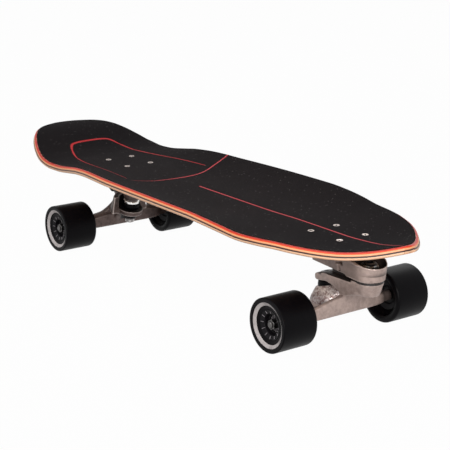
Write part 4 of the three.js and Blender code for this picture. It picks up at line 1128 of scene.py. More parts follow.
class Tree(Nodes):
    """A geometry node tree with named inputs."""

    def __init__(self, name, inputs):
        self.tree = bpy.data.node_groups.new(name, "GeometryNodeTree")
        super().__init__(self.tree)
        self.tree.is_modifier = True
        add = self.tree.interface.new_socket
        inputs = dict(inputs, Material=("NodeSocketMaterial", None))
        for label, (kind, default) in inputs.items():
            socket = add(name=label, in_out="INPUT", socket_type=kind)
            if default is not None:
                socket.default_value = default
        add(name="Geometry", in_out="OUTPUT", socket_type="NodeSocketGeometry")
        self.start = self.nodes.new("NodeGroupInput")
        self.end = self.nodes.new("NodeGroupOutput")

    def given(self, label):
        return Value(self, self.start.outputs[label])

    def copies(self, points, turn):
        """The given piece on each point, turned by an angle, as the tree's result."""
        spin = self.node("ShaderNodeCombineXYZ", {}, {"Z": turn})
        piece = self.node("GeometryNodeObjectInfo", {}, {"Object": self.given("Piece")}, "Geometry")
        self.ends_with(self.node("GeometryNodeInstanceOnPoints", {}, {
            "Points": points, "Instance": piece, "Rotation": spin}))

    def ends_with(self, geometry):
        real = self.node("GeometryNodeRealizeInstances", {}, {0: geometry})
        coated = self.node("GeometryNodeSetMaterial", {}, {"Geometry": real,
                                                           "Material": self.given("Material")})
        self.feed(self.end.inputs[0], coated)

    def mesh(self, name, values, axis=None, crease=35):
        """The tree's result for some inputs, as a plain mesh in place."""
        holder = new_object(name + "_holder", bpy.data.meshes.new(name + "_holder"))
        modifier = holder.modifiers.new("made", "NODES")
        modifier.node_group = self.tree
        for item in self.tree.interface.items_tree:
            if item.in_out == "INPUT" and item.name in values:
                modifier[item.identifier] = values[item.name]
        bpy.context.view_layer.update()
        seen = holder.evaluated_get(bpy.context.evaluated_depsgraph_get())
        mesh = bpy.data.meshes.new_from_object(seen)
        mesh.name = name
        holder.modifiers.remove(modifier)
        bpy.data.objects.remove(holder)
        if axis:
            turn = Matrix([list(row) for row in np.stack([axis.u, axis.v, axis.w], -1)]).to_4x4()
            mesh.transform(Matrix.Translation(Vector(axis.origin) * MM) @ turn)
        tidied(mesh, crease)
        return mesh


def hidden_source(name, points, faces, crease=35):
    """A small mesh that a tree copies. It isn't part of the object and is removed after use."""
    mesh = mesh_from(name, points, faces)
    tidied(mesh, crease)
    return new_object(name, mesh)


def ring_tree():
    """Copies of a piece round an axle."""
    tree = Tree("copies_round_axle", {
        "Count": ("NodeSocketInt", 12), "Radius": ("NodeSocketFloat", 0.016),
        "Piece": ("NodeSocketObject", None),
    })
    circle = tree.node("GeometryNodeMeshCircle", {}, {"Vertices": tree.given("Count"),
                                                      "Radius": tree.given("Radius")})
    index = tree.node("GeometryNodeInputIndex")
    tree.copies(circle, index * (2 * math.pi / tree.given("Count")))
    return tree


def bolt_tree():
    """Bolts on a truck's hole pattern, each turned by chance."""
    tree = Tree("bolts_on_pattern", {
        "Length": ("NodeSocketFloat", 0.054), "Width": ("NodeSocketFloat", 0.0413),
        "Nose Lift": ("NodeSocketFloat", 0.0), "Seed": ("NodeSocketInt", 4),
        "Piece": ("NodeSocketObject", None),
    })
    grid = tree.node("GeometryNodeMeshGrid", {}, {
        "Size X": tree.given("Length"), "Size Y": tree.given("Width"),
        "Vertices X": 2, "Vertices Y": 2})
    along_x = tree.node("ShaderNodeSeparateXYZ", {}, {0: tree.node("GeometryNodeInputPosition")})
    lift = along_x.math("GREATER_THAN", along_x, 0.0) * tree.given("Nose Lift")
    offset = tree.node("ShaderNodeCombineXYZ", {}, {"Z": lift})
    grid = tree.node("GeometryNodeSetPosition", {}, {"Geometry": grid, "Offset": offset})
    turn = tree.node("FunctionNodeRandomValue", {"data_type": "FLOAT"}, {
        2: 0.0, 3: 2 * math.pi, "Seed": tree.given("Seed")}, 1)
    tree.copies(grid, turn)
    return tree


def coil_tree():
    """A wire wound round an axis, its ends capped."""
    tree = Tree("wound_wire", {
        "Turns": ("NodeSocketFloat", 8.0), "Length": ("NodeSocketFloat", 0.03),
        "Radius": ("NodeSocketFloat", 0.0036), "Wire": ("NodeSocketFloat", 0.0009),
    })
    spiral = tree.node("GeometryNodeCurveSpiral", {}, {
        "Resolution": 28, "Rotations": tree.given("Turns"), "Start Radius": tree.given("Radius"),
        "End Radius": tree.given("Radius"), "Height": tree.given("Length")})
    section = tree.node("GeometryNodeCurvePrimitiveCircle", {}, {"Resolution": 12,
                                                                "Radius": tree.given("Wire")})
    wire = tree.node("GeometryNodeCurveToMesh", {}, {"Curve": spiral, "Profile Curve": section,
                                                     "Fill Caps": True})
    tree.ends_with(wire)
    return tree


# Trucks

FRONT_PIN = leaning(267.5, 67, -15)
REAR_PIN = leaning(-197.5, 69.3, 12)
SWING = leaning(SWING_X, SEAM_HEIGHT, SWING_TILT)
FRONT_SEAT_TOP = 14.5
FRONT_SEAT_THICKNESS = 10
REAR_SEAT_TOP = 13.5
REAR_SEAT_THICKNESS = 8
FRONT_RING = FRONT_PIN.down(FRONT_SEAT_TOP + FRONT_SEAT_THICKNESS / 2)
REAR_RING = REAR_PIN.down(REAR_SEAT_TOP + REAR_SEAT_THICKNESS / 2)
FRONT_STEER = leaning(FRONT_RING.origin[0], FRONT_RING.origin[2], 90 - 22.7)
REAR_STEER = leaning(REAR_RING.origin[0], REAR_RING.origin[2], 28 - 90)
FRONT_PLATE_BOTTOM = FRONT_PLATE_TOP - PLATE_THICKNESS
# Radii of the holes for a bolt, a kingpin and its head, and the swing shaft
BOLT_HOLE = 2.8
PIN_HOLE = 5.1
PIN_HEAD_HOLE = 8.7
SHAFT_HOLE = 8.3
CASTING_STEP = 0.8


def bolt_places(centre):
    """Where a truck's four bolts stand, round its middle along X."""
    return [(centre + a * BOLT_LENGTH / 2, b * BOLT_WIDTH / 2) for a in (-1, 1) for b in (-1, 1)]


def seam_at(x, drop=0.0):
    """Height of the seam between base and arm, square to the swing axis."""
    return SEAM_HEIGHT - drop - math.tan(SWING_TILT * DEGREE) * (x - SWING_X)


def upright(x, y, z=0.0):
    return Axis((x, y, z), (1, 0, 0), (0, 0, 1))


def bored(solid, points, *holes):
    """The solid less round holes: (axis, radius, low, high, edge rounding, fillet) rows."""
    for axis, radius, low, high, edge, fillet in holes:
        solid = cut(solid, post(points, axis, radius, low, high, edge), fillet)
    return solid


def boss_top(x):
    """The sloping top of the boss, seen from the side."""
    return 107.2 - math.tan(12 * DEGREE) * (x - SWING_X)


# The base from the side: its seam with the arm, its boss and its plate
BASE_SIDE = [
    (260.6, seam_at(260.6)), (321, seam_at(321)), (324, seam_at(324, 2.2)),
    (367.5, seam_at(367.5, 2.2)), (367.5, boss_top(367.5)), (323.6, boss_top(323.6)),
    (321, 116), (251, 116), (253.6, 113), (260.6, 103.7)]
# The boss's hollow runs out towards the tail round a second axis
TAILWARD = Axis(SWING.origin - np.array([13.0, 0, 0]), SWING.u, SWING.w)


def front_base_shape(points):
    """The front baseplate: a bolted plate that runs into a hollow round boss."""
    x, y, z = points.T
    side = outline_distance(BASE_SIDE, x, z)
    plan = plate_plan(x, y, 248, 323.6, PLATE_HALF_WIDTH, PLATE_CORNER)
    plate = pushed(plan, z - 114.2, 3.5, 1.3)
    radius = 20 + (z - SEAM_HEIGHT) * 0.11
    boss = np.hypot(np.maximum(x - SWING_X, 0), y) - radius
    step = pushed(plate_plan(x, y, 255, 352, 23.4, 6), z - 109.5, 5.0, 1.6)
    solid = join(plate, meet(boss, side, 1.2), 3.4)
    solid = join(solid, meet(step, side, 1.5), 1.2)
    # Room for the thrust ring in the skirt below the boss
    solid = bored(solid, points, (SWING, 18.1, -9, 0, 0.2, 0.2))
    hollow = join(post(points, SWING, 19.2, 6.7, 60, 2.0),
                  post(points, TAILWARD, 17.5, 9.5, 60, 2.0), 4.0)
    solid = cut(solid, hollow, 0.8)
    for place in bolt_places(FRONT_X):
        solid = bored(solid, points, (upright(*place), 6.6, 98.7, FRONT_PLATE_BOTTOM, 0.8, 1.4),
                      (upright(*place), BOLT_HOLE, 90, 130, 0.1, 0.3))
    return bored(solid, points, (SWING, SHAFT_HOLE, -20, 40, 0.1, 0.6))


# The arm from the side: its body, and the lower skirts beside the bushing
ARM_TOP = [
    (363.1, 68), (363.1, 80.8), (290, 80.8), (282, 80), (270, 76.6), (254, 70.6), (250.5, 69.3)]
ARM_SIDE = [(250.5, 62.4), (292.1, 73.6), (305.1, 70.9), (311.6, 66.7), (318.1, 59.8),
            (343.3, 66.6)] + ARM_TOP
ARM_SKIRT = [(250.5, 62.4), (262, 64.2), (271, 66), (280, 68.4), (287, 69.4), (294.7, 68.6),
             (300.6, 65.8), (309, 62.4), (316.6, 59.2), (322, 60.4), (343.3, 66.6)] + ARM_TOP
ARM_PLAN = ([(267.5 - 17 * math.sin(a * DEGREE), 17 * math.cos(a * DEGREE))
             for a in range(0, 181, 12)]
            + [(FRONT_X + 7.5, -22)]
            + [(SWING_X + 19.3 * math.cos(a * DEGREE), 19.3 * math.sin(a * DEGREE))
               for a in range(-90, 91, 12)]
            + [(FRONT_X + 7.5, 22)])
BAY_LENGTH = 33
BAY_HALF_WIDTH = 6.4
SPRING_START = FRONT_X + 7.5 - BAY_HALF_WIDTH
SPRING_END = SPRING_START + BAY_LENGTH - 6.5
SPRING_Z = seam_at(SPRING_START, 2.4) - 11.6 + SEAT_GAP + 3.6 + 0.9
SPRING_AXIS = Axis((0, 0, SPRING_Z), (0, 0, -1), (1, 0, 0))


def front_arm_shape(points):
    """The swing arm: it carries the kingpin under its tail and the spring in its bay."""
    x, y, z = points.T
    # The plan narrows downwards, most of all round the nose
    share = np.clip(1 + 0.27 * (z - 84.8) / 19.2, 0.7, 1.06)
    wide = 1 - 0.35 * (1 - share)
    nose = np.clip((x - SWING_X + 12) / 14, 0, 1)
    nose = nose * nose * (3 - 2 * nose)
    u = np.where(x > SWING_X, SWING_X + (x - SWING_X) / share, x)
    v = y / (wide + (share - wide) * nose)
    plan = outline_distance(ARM_PLAN, u, v) * 0.97
    solid = meet(plan, outline_distance(ARM_SIDE, x, z), 2.4)
    skirt = meet(meet(plan, outline_distance(ARM_SKIRT, x, z), 2.4), 13.5 - np.abs(y), 1.5)
    solid = join(solid, skirt, 1.0)
    # The seat under the base's skirt, a raised ring in it, the bay's rim and the boss below
    solid = join(solid, meet(post(points, SWING, 21.4, -9, -4.6, 0.6), plan, 0.9), 1.2)
    solid = join(solid, post(points, SWING, 17.7, -9, -2.4, 0.4), 0.4)
    rim = plate_plan(x, y, SPRING_START - 3, 328, BAY_HALF_WIDTH + 2.8, 6)
    solid = join(solid, pushed(rim, z - 79.4, 5.2, 1.0), 0.8)
    boss = post(points, SWING, 17.4, -21.6, -14, 1.6)
    solid = join(solid, meet(boss, plan + 0.6, 1.0), 2.0)
    # Room for the bushing, the shaft and its head, the kingpin and its head, and the pivot cup
    solid = bored(
        solid, points,
        (FRONT_PIN, 15, -40, -1.4, 0.4, 0.6),
        (SWING, SHAFT_HOLE, -40, 10, 0.1, 0.5),
        (SWING, 11.3, -40, -15.5, 0.2, 0.8),
        (FRONT_PIN, PIN_HOLE, -20, 30, 0.1, 0.3),
        (FRONT_PIN, PIN_HEAD_HOLE, 3, 40, 0.4, 0.8),
        (FRONT_STEER, 8.0, 34, 57, 0.3, 0.8))
    bay = plate_plan(x, y, SPRING_START, SPRING_START + BAY_LENGTH, BAY_HALF_WIDTH,
                     BAY_HALF_WIDTH / 2)
    solid = cut(solid, pushed(bay, z - SPRING_Z - 6, 10.8, 1.0), 0.8)
    # The plunger's hole
    return bored(solid, points, (SPRING_AXIS, 4.2, SPRING_END, SWING_X, 0.1, 0.4))


FRONT_BEAM_SHARES = [(0, 17.6), (0.26, 15.2), (0.47, 12.4), (0.73, 8.8), (1, 6.6)]
REAR_BEAM_SHARES = [(0, 12.5), (0.44, 11.2), (0.77, 9), (1, 6.6)]
REAR_WEB_SHARES = [(0, 41.6), (0.13, 41), (0.177, 31.7), (0.235, 26.7), (0.417, 18.1),
                   (0.555, 14), (0.74, 12), (1, 8)]
FRONT_BELL = [(0, -9.2), (15.2, -9.2), (17.2, -10.6), (19.6, -13.6), (22, -16.9), (24.4, -20),
              (26.2, -23.5), (27.2, -28), (27.2, -39.5), (0, -39.5)]
BEAM_END = 66.0


def beam_shape(points, axle, shares, drop, half_depth, edge):
    """A bar along the axle whose top follows a table and whose underside rises to the stubs."""
    x, y, z = points.T
    out = np.abs(y) / BEAM_END
    top = AXLE_HEIGHT + along(shares, out)
    slope = (along(shares, out + 0.01) - along(shares, out - 0.01)) / (0.02 * BEAM_END)
    lift = 1.6 * np.clip((out - 0.6) / 0.4, 0, 1) ** 2
    above = (z - top) / np.hypot(1, np.where(out > 1, 0, slope))
    band = meet(above, AXLE_HEIGHT - drop + lift - z, edge)
    band = meet(band, np.abs(y) - BEAM_END, edge)
    return meet(band, np.abs(x - axle) - half_depth, edge)


def axle_beam(points, axle, shares, drop):
    """The bar with the round stubs that hold the axle's ends."""
    stub = post(points, crosswise(axle, 0, 1), 7.4, -79, 79, 0.7)
    return join(beam_shape(points, axle, shares, drop, 8.8, 3.4), stub, 3.0)


def pin_clearance(points, pin, seat_top, seat):
    """The kingpin's hole and the open space under the seat."""
    a, b, h = pin.local(points)
    r = np.hypot(a, b)
    top = -(seat_top + seat)
    hole = np.maximum(r - 7.8, h)
    cone = outline_distance([
        (0, top - 42), (24, top - 42), (13.4, top - 14), (12.4, top), (0, top)], r, h)
    return join(hole, meet(cone, np.abs(a) - 12.1, 1.0), 0.6)


def front_hanger_shape(points):
    """The front hanger: a bell under the bushing on a beam that holds the axle."""
    x, y, z = points.T
    trough = np.maximum(np.maximum(x - (FRONT_AXLE_X + 3.3), 40 - z), np.abs(y) - 52)
    solid = cut(axle_beam(points, FRONT_AXLE_X, FRONT_BEAM_SHARES, 7.6), trough, 1.0)
    bell = turned_distance(FRONT_BELL, points, FRONT_PIN) - 0.3
    bell = meet(meet(bell, 27.6 - z, 2.5), x - (FRONT_AXLE_X + 2.2), 3.0)
    solid = join(solid, bell, 1.6)
    a, b, h = FRONT_STEER.local(points)
    along_nub = np.clip(h / 34, 0, 1)
    width = 8.5 - 3.2 * along_nub
    depth = 9.5 - 4.5 * along_nub
    neck = pushed(np.hypot(a / depth, b / width) * (width + depth) / 2 - (width + depth) / 2,
                  h - 17, 17.5, 1.0)
    solid = join(solid, neck, 5.5)
    solid = join(solid, post(points, FRONT_STEER, 4.8, 16, 54, 1.6), 2.0)
    solid = bored(solid, points, (FRONT_PIN, 14.1, -FRONT_SEAT_TOP, 10, 0.3, 0.3))
    return cut(solid, pin_clearance(points, FRONT_PIN, FRONT_SEAT_TOP, FRONT_SEAT_THICKNESS), 1.0)


def rear_base_shape(points):
    """The rear baseplate: a plate, a boss over the kingpin and a housing for the pivot cup."""
    x, y, z = points.T
    plate = pushed(plate_plan(x, y, REAR_TAIL, REAR_NOSE, PLATE_HALF_WIDTH, PLATE_CORNER),
                   z - 101.2, 3.5, 1.3)
    boss = turned_distance([(0, 1.6), (11.2, 1.6), (14.8, 14), (19, 31), (0, 31)], points,
                           REAR_PIN) - 0.4
    solid = join(plate, meet(boss, z - 103, 1.0), 4.0)

    def pivot_at(s, rise):
        """A place at a distance along the pivot's line and a rise from it."""
        (place,) = REAR_STEER.placed([(rise, 0, s)])
        return place[0], place[2]

    start, end = 51.5, 57.6
    housing = outline_distance([
        pivot_at(start, 1), pivot_at(end, 1), (-256, 100), (pivot_at(start, 10)[0] + 7, 100),
        pivot_at(start, 10)], x, z)
    solid = join(solid, pushed(housing, y, 5.5, 1.8), 3.5)
    solid = join(solid, post(points, REAR_STEER, 7.2, start, 58, 1.2), 2.5)
    solid = bored(solid, points, (REAR_STEER, 5.9, 34, 56.7, 0.3, 0.6))
    for place in bolt_places(REAR_X):
        solid = bored(solid, points, (upright(*place), BOLT_HOLE, 80, 120, 0.1, 0.3))
    return bored(solid, points, (REAR_PIN, PIN_HOLE, -10, 60, 0.1, 0.3),
                 (REAR_PIN, PIN_HEAD_HOLE, 24.9, 80, 0.3, 0.3))


def rear_hanger_shape(points):
    """The rear hanger: a bowl that holds the bushing, with a web to each side of the beam."""
    x, y, z = points.T
    beam = axle_beam(points, REAR_AXLE_X, REAR_BEAM_SHARES, 8.6)
    web = beam_shape(points, REAR_AXLE_X, REAR_WEB_SHARES, 0, 5.0, 2.6)
    foot = -(REAR_SEAT_TOP + REAR_SEAT_THICKNESS)
    ring_z = REAR_PIN.down(-foot).origin[2]
    tail, nose = REAR_AXLE_X - 8.8, REAR_AXLE_X + 24
    bowl = turned_distance([(0, foot), (31, foot), (27.4, 4.7), (27.4, 21.5), (0, 21.5)], points,
                           REAR_PIN)
    bowl = meet(bowl, outline_distance([
        (tail, 32.3), (REAR_AXLE_X + 8.8, 32.3), (nose, ring_z - 8), (nose, 74),
        (REAR_AXLE_X, 76.5), (tail, 55.5)], x, z), 1.8)
    base = pushed(outline_distance([
        (tail, 32.3), (REAR_AXLE_X + 8.8, 32.3), (nose, ring_z), (nose, ring_z + 4),
        (tail, ring_z + 4)], x, z), y, 20, 4.5)
    ring = post(points, REAR_PIN, 19, foot, -REAR_SEAT_TOP, 1.5)
    block = join(join(beam, web, 3.0), bowl, 3.0)
    block = join(join(block, base, 6.0), ring, 2.0)
    pocket = post(points, REAR_PIN, 19.4, -REAR_SEAT_TOP, 90, 1.6)
    block = cut(block, pocket, 1.6)
    # Room for the baseplate's pivot housing
    block = bored(block, points, (REAR_STEER, 42, 36.4, 130, 0.5, 1.2))
    nub = turned_distance([(0, 0), (12, 0), (12, 29.2), (5.4, 36.4), (4.1, 47), (4.1, 54), (0, 54)],
                          points, REAR_STEER) - 0.2
    block = join(block, cut(nub, pocket, 0.8), 1.5)
    return cut(block, pin_clearance(points, REAR_PIN, REAR_SEAT_TOP, REAR_SEAT_THICKNESS), 1.0)


def bounds_of(node):
    """The corners of a CAD node's box, with room for what is drawn beyond it."""
    spare = 1.6
    low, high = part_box(node)
    return [value / MM - spare for value in low], [value / MM + spare for value in high]


def make_castings(front, bell, rear):
    for name, shape, finish, body, node in (
        ("front_baseplate_cast", front_base_shape, front, "board", "front_baseplate"),
        ("front_arm_cast", front_arm_shape, front, "swing_arm", "front_arm"),
        ("front_hanger_cast", front_hanger_shape, bell, "front_hanger", "front_hanger"),
        ("rear_baseplate_cast", rear_base_shape, rear, "board", "rear_baseplate"),
        ("rear_hanger_cast", rear_hanger_shape, rear, "rear_hanger", "rear_hanger"),
    ):
        casting_piece(name, shape, *bounds_of(node), finish, body, node)


# Fasteners, bushings and the rest of the hardware

def flipped(rows):
    """A profile's rows turned end for end."""
    return [(row[0], -row[1]) + tuple(row[2:]) for row in rows[::-1]]


def washer(axis, bore, radius, low, high, edge=0.3):
    """A flat ring, its outer edges rounded more than its bore."""
    return turned([(bore, low, edge / 2), (radius, low, edge), (radius, high, edge),
                   (bore, high, edge / 2)], axis, 64)


def nut(axis, corner, bore, low, high):
    """A hexagon nut whose corners reach a radius."""
    across = 2 * corner * math.cos(math.pi / 6)
    return turned(nut_rows(across, bore, low, high), axis, 72, 6, across)


def cross_head(top, radius, height, shank):
    """A countersunk head with a cross recess, its flat face at the top."""
    def shape(points):
        x, y, z = points.T
        r = np.hypot(x, y)
        cone = outline_distance([(0, top), (radius, top), (radius, top - 0.5),
                                 (shank + 0.2, top - height), (0, top - height)], r, z) - 0.02
        depth = np.clip((top - z) / 1.9, 0, 1)
        arm = 3.1 - 1.6 * depth
        width = 1.25 - 0.5 * depth
        a, b = np.maximum(np.abs(x), np.abs(y)), np.minimum(np.abs(x), np.abs(y))
        cross = np.maximum(np.maximum(a - arm, b - width), top - 1.9 - z)
        return cut(cone, cross, 0.15)
    reach = radius + 0.6
    return skin_of(shape, (-reach, -reach, top - height - 0.6), (reach, reach, top + 0.6), 0.2)


def deck_bolt(top, nut_top, nut_height, tail):
    """A bolt with its nut, upright at the origin."""
    here = upright(0, 0)
    radius, bore = 2.4, 2.45
    low = nut_top - nut_height
    thread = flipped(thread_rows(radius, -(nut_top + 4), -tail, 0.7, 0.4))
    shank = [(0, tail)] + thread + [(radius, top - 2.4), (0, top - 2.4)]
    collar = [(bore, low, 0.2), (3.5, low, 0.4), (3.7, low + 0.9, 0.3), (2.5, low + 0.9)]
    return joined([
        cross_head(top, 4.0, 2.6, radius), turned(shank, here, 32),
        nut(here, 5.0, bore, low, nut_top), turned(collar, here, 32),
    ])


def make_bolts(finish):
    tree = bolt_tree()
    for end, centre, sizes, seed, lift in (
        ("front", FRONT_X, (128.6, 110.4, 5, 103.4), 4, 0.55),
        ("rear", REAR_X, (128.6, 97.4, 5, 90.4), 9, 0.0),
    ):
        source = hidden_source(f"{end}_bolt_source", *deck_bolt(*sizes), 40)
        mesh = tree.mesh(f"{end}_deck_bolts", {
            "Length": BOLT_LENGTH * MM, "Width": BOLT_WIDTH * MM, "Nose Lift": lift * MM,
            "Seed": seed, "Piece": source, "Material": finish}, upright(centre, 0), 40)
        bpy.data.objects.remove(source)
        names = [f"deck_bolt_{end}_{i}" for i in (1, 2, 3, 4)]
        settled(new_object(f"{end}_deck_bolts", mesh), "board", names)


def bushing(axis, bore, low, high, top_radius, radius, bottom_radius):
    """A turned bushing with rounded shoulders and a shallow waist at each end."""
    span = high - low
    return turned([
        (bore, low, 0.3), (bottom_radius, low, 0.9), (radius, low + 0.3 * span, 1.6),
        (radius, low + 0.62 * span, 1.6), (top_radius, high, 0.9), (bore, high, 0.3)], axis, 80)


def kingpin(axis, head_low, head_high, tail, thread):
    """A bolt with a round socket head, its thread from its tail up to a height."""
    radius, head = 4.8, 8.4
    rows = flipped(thread_rows(radius, -thread, -tail, 1.0, 0.7))
    rows += [(radius, head_low), (head, head_low, 0.4), (head, head_high - 0.6),
             (head - 0.8, head_high), (4.0, head_high, 0.3), (3.6, head_high - 0.5),
             (3.6, head_high - 2.8), (0, head_high - 3.4)]
    return turned([(0, tail)] + rows, axis, 64)


def pivot_cup(axis, low, radius, bore):
    """A cup on the pivot's line, closed at its far end and open where the hanger's nose enters."""
    high = 56.4
    return turned([
        (0, high), (radius, high, 1.2), (radius, low + 1.0), (radius + 0.2, low + 0.5, 0.3),
        (radius, low, 0.4), (bore, low, 0.5), (bore, high - 2.2, bore * 0.6), (0, high - 2.2)],
        axis, 56)


def make_kingpins(steel, nut_steel, bright_steel, black_steel, rubber):
    """What is on both kingpins, and the pivot cups. Each bushing's row ends with the heights
    along its pin where it is held and where the hanger moves it."""
    cup_rows = [(5, 1.1), (10.2, 1.1, 0.5), (12.3, -0.7, 0.8), (12.6, -3.6, 0.2),
                (11.9, -3.6, 0.2), (11.6, -1.6, 0.6), (5, -1.4)]
    front = [
        ("kingpin_turned", kingpin(FRONT_PIN, 3.3, 8.3, -43.4, -33), black_steel, "black_steel",
         "kingpin"),
        ("upper_bushing", bushing(FRONT_PIN, 6.3, -14.2, -1.8, 12.4, 13.9, 12.8), rubber, "bushing",
         "bushing_upper", -3.5, -13),
        ("lower_bushing", bushing(FRONT_PIN, 6.3, -34.2, -24.8, 10.3, 10.3, 8.8), rubber, "bushing",
         "bushing_lower", -33, -26),
        ("lower_washer", washer(FRONT_PIN, 5.0, 8.8, -35.9, -34.5), steel, "steel", "washer_lower"),
        ("pin_nut", nut(FRONT_PIN, 8.0, 5.0, -41.8, -36.2), steel, "steel", "kingpin_nut"),
    ]
    rear = [
        ("kingpin_turned", kingpin(REAR_PIN, 25.2, 30.2, -38.4, -29), black_steel, "black_steel",
         "kingpin"),
        ("upper_bushing", bushing(REAR_PIN, 6.3, -13.2, -1.9, 10.9, 13.5, 12.4), rubber, "bushing",
         "bushing_upper", -3.5, -12),
        ("lower_bushing", bushing(REAR_PIN, 6.3, -29.2, -21.8, 10.3, 10.3, 8.8), rubber, "bushing",
         "bushing_lower", -28, -23),
        ("cup_washer", turned(cup_rows, REAR_PIN, 72), bright_steel, "steel", "washer_upper"),
        ("lower_washer", washer(REAR_PIN, 5.0, 8.8, -30.9, -29.5), nut_steel, "steel",
         "washer_lower"),
        ("pin_nut", nut(REAR_PIN, 8.0, 5.0, -36.8, -31.2), nut_steel, "steel", "kingpin_nut"),
    ]
    front_cup = ("cup", pivot_cup(FRONT_STEER, 39.4, 7.7, 5.1), rubber, "bushing", "pivot_cup")
    rear_cup = ("cup", pivot_cup(REAR_STEER, 50.6, 5.7, 4.4), rubber, "bushing", "pivot_cup")
    for end, body, pin, parts in (
        ("front", "swing_arm", FRONT_PIN, front), ("rear", "board", REAR_PIN, rear),
        ("front", "swing_arm", FRONT_PIN, [front_cup]), ("rear", "board", REAR_PIN, [rear_cup]),
    ):
        for name, shape, finish, slot, node, *bent in parts:
            rider = pressed(pin, body, f"{end}_hanger", *bent) if bent else body
            finished(f"{end}_{name}", shape, finish, rider, (f"{end}_{node}",))


def make_swing_set(steel, black_steel):
    """The shaft that the arm swings on, with its nut, washer and thrust ring."""
    rows = [(0, -19.5), (10.4, -19.5, 0.4), (11, -18.9), (11, -15.8, 0.4), (8, -15.8), (8, 8.0)]
    rows += thread_rows(8.0, 8.2, 18.9, 1.3, 1.0) + [(4.2, 18.9, 0.4), (4.0, 14.5), (0, 13.8)]
    for name, shape, finish, slot, node in (
        ("shaft_turned", turned(rows, SWING, 72), black_steel, "black_steel", "shaft"),
        ("hex_nut", nut(SWING, 11.6, 8.2, 9.4, 16.4), steel, "steel", "nut"),
        ("flat_washer", washer(SWING, 9.0, 13.0, 7.0, 8.8), steel, "steel", "thrust_washer"),
        ("thrust_ring", washer(SWING, 9.0, 17.6, -2.1, -0.3, 0.5), black_steel, "steel",
         "thrust_bearing"),
    ):
        finished(f"swing_{name}", shape, finish, "board", (f"swing_{node}",))


def make_spring(finish, black_steel):
    """The return spring, and the plunger that it presses against."""
    start, end, half_wire = 286.9, 311.0, 0.9
    mesh = coil_tree().mesh("spring_coil", {
        "Turns": 8.0, "Length": (end - start - 2 * half_wire) * MM, "Radius": 3.6 * MM,
        "Wire": 0.88 * MM, "Material": finish}, SPRING_AXIS.down(-start - half_wire), 0)
    settled(new_object("spring_coil", mesh), "swing_arm", ("return_spring",))
    rows = [(0, 312.2), (3.9, 312.2, 0.6), (3.9, 314.0), (3.4, 314.4), (3.4, 315.2), (3.9, 315.6),
            (3.9, 331.5, 2.2), (2.4, 334.0, 1.2), (0, 334.7)]
    finished("spring_plunger_turned", turned(rows, SPRING_AXIS, 48), black_steel, "swing_arm",
             ("spring_plunger",))


def make_axles(steel):
    """An axle threaded at both ends in each hanger, with its nuts and their washers."""
    thread = thread_rows(4.0, 103.6, 112.8, 1.2, 0.8)
    rows = [(0, -112.8)] + flipped(thread) + [(4.0, -103.4), (4.0, 103.4)] + thread + [(0, 112.8)]
    for end, x in AXLES:
        body = f"{end}_hanger"
        finished(f"{end}_axle_turned", turned(rows, crosswise(x, 0, 1), 48), steel, body,
                 (f"{end}_axle",))
        for name, side in SIDES:
            out = crosswise(x, side * WHEEL_Y, side)
            shape = joined([nut(out, 6.8, 4.1, 13.3, 19.6), washer(out, 4.1, 5.6, 12.3, 13.2, 0.2)])
            finished(f"{end}_{name}_hex_nut", shape, steel, body,
                     (f"{end}_{name}_axle_nut",))


def make_riser(finish):
    """The block between the deck and the rear baseplate."""
    corners = [(REAR_NOSE, PLATE_HALF_WIDTH), (REAR_TAIL, PLATE_HALF_WIDTH),
               (REAR_TAIL, -PLATE_HALF_WIDTH), (REAR_NOSE, -PLATE_HALF_WIDTH)]
    outline = []
    for quarter, (x, y) in enumerate(corners):
        centre = x - math.copysign(PLATE_CORNER, x - REAR_X), y - math.copysign(PLATE_CORNER, y)
        for angle in range(90 * quarter, 90 * quarter + 91, 9):
            outline.append((*centre, math.cos(angle * DEGREE), math.sin(angle * DEGREE)))
    low, high = REAR_PLATE_TOP + SEAT_GAP, FRONT_PLATE_TOP
    rows = [(0.9, low), (0.3, low + 0.25), (0, low + 0.9), (0, high - 0.9), (0.3, high - 0.25),
            (0.9, high)]
    points = [(x + across * (PLATE_CORNER - inset), y + along_y * (PLATE_CORNER - inset), z)
              for inset, z in rows for x, y, across, along_y in outline]
    index = np.arange(len(points)).reshape(len(rows), -1)
    faces = []
    for below, above in zip(index[:-1], index[1:]):
        faces.extend(zip(below, np.roll(below, -1), np.roll(above, -1), above))
    faces += [tuple(index[0, ::-1]), tuple(index[-1])]
    finished("riser_block", (points, faces), finish, "board", ("rear_riser",), 30)


def core_ribs(finish):
    """Twelve radial ribs on the outer face of a wheel's core, in the wheel's own frame."""
    inner, outer, half = 14.0, 17.6, 0.36
    rows = [(inner, 17.4), (outer, 18.4), (outer, 21.3), (inner, 19.9)]
    points = [(r, s, h) for s in (-half, half) for r, h in rows]
    faces = [(0, 1, 2, 3), (7, 6, 5, 4)] + [(k, (k + 1) % 4, (k + 1) % 4 + 4, k + 4)
                                           for k in range(4)]
    centre = (inner + outer) / 2
    moved = [(r - centre, s, h) for r, s, h in points]
    source = hidden_source("rib_source", moved, faces)
    mesh = ring_tree().mesh("core_ribs", {"Count": 12, "Radius": centre * MM, "Piece": source,
                                          "Material": finish})
    bpy.data.objects.remove(source)
    spots = np.empty(len(mesh.vertices) * 3)
    mesh.vertices.foreach_get("co", spots)
    loops = [tuple(p.vertices) for p in mesh.polygons]
    bpy.data.meshes.remove(mesh)
    return spots.reshape(-1, 3) / MM, loops


# Stage

CAMERA_TURN = (54.24, 16.86, -0.11)
CAMERA_TARGET = (41.7, 0, 50)
CAMERA_DISTANCE = 1792
CAMERA_LENS = 102.7
CAMERA_SHIFT = (0.0051, 0.05)
CAMERA_CLIP = (0.05, 60)
FLOOR_HALF = 9000
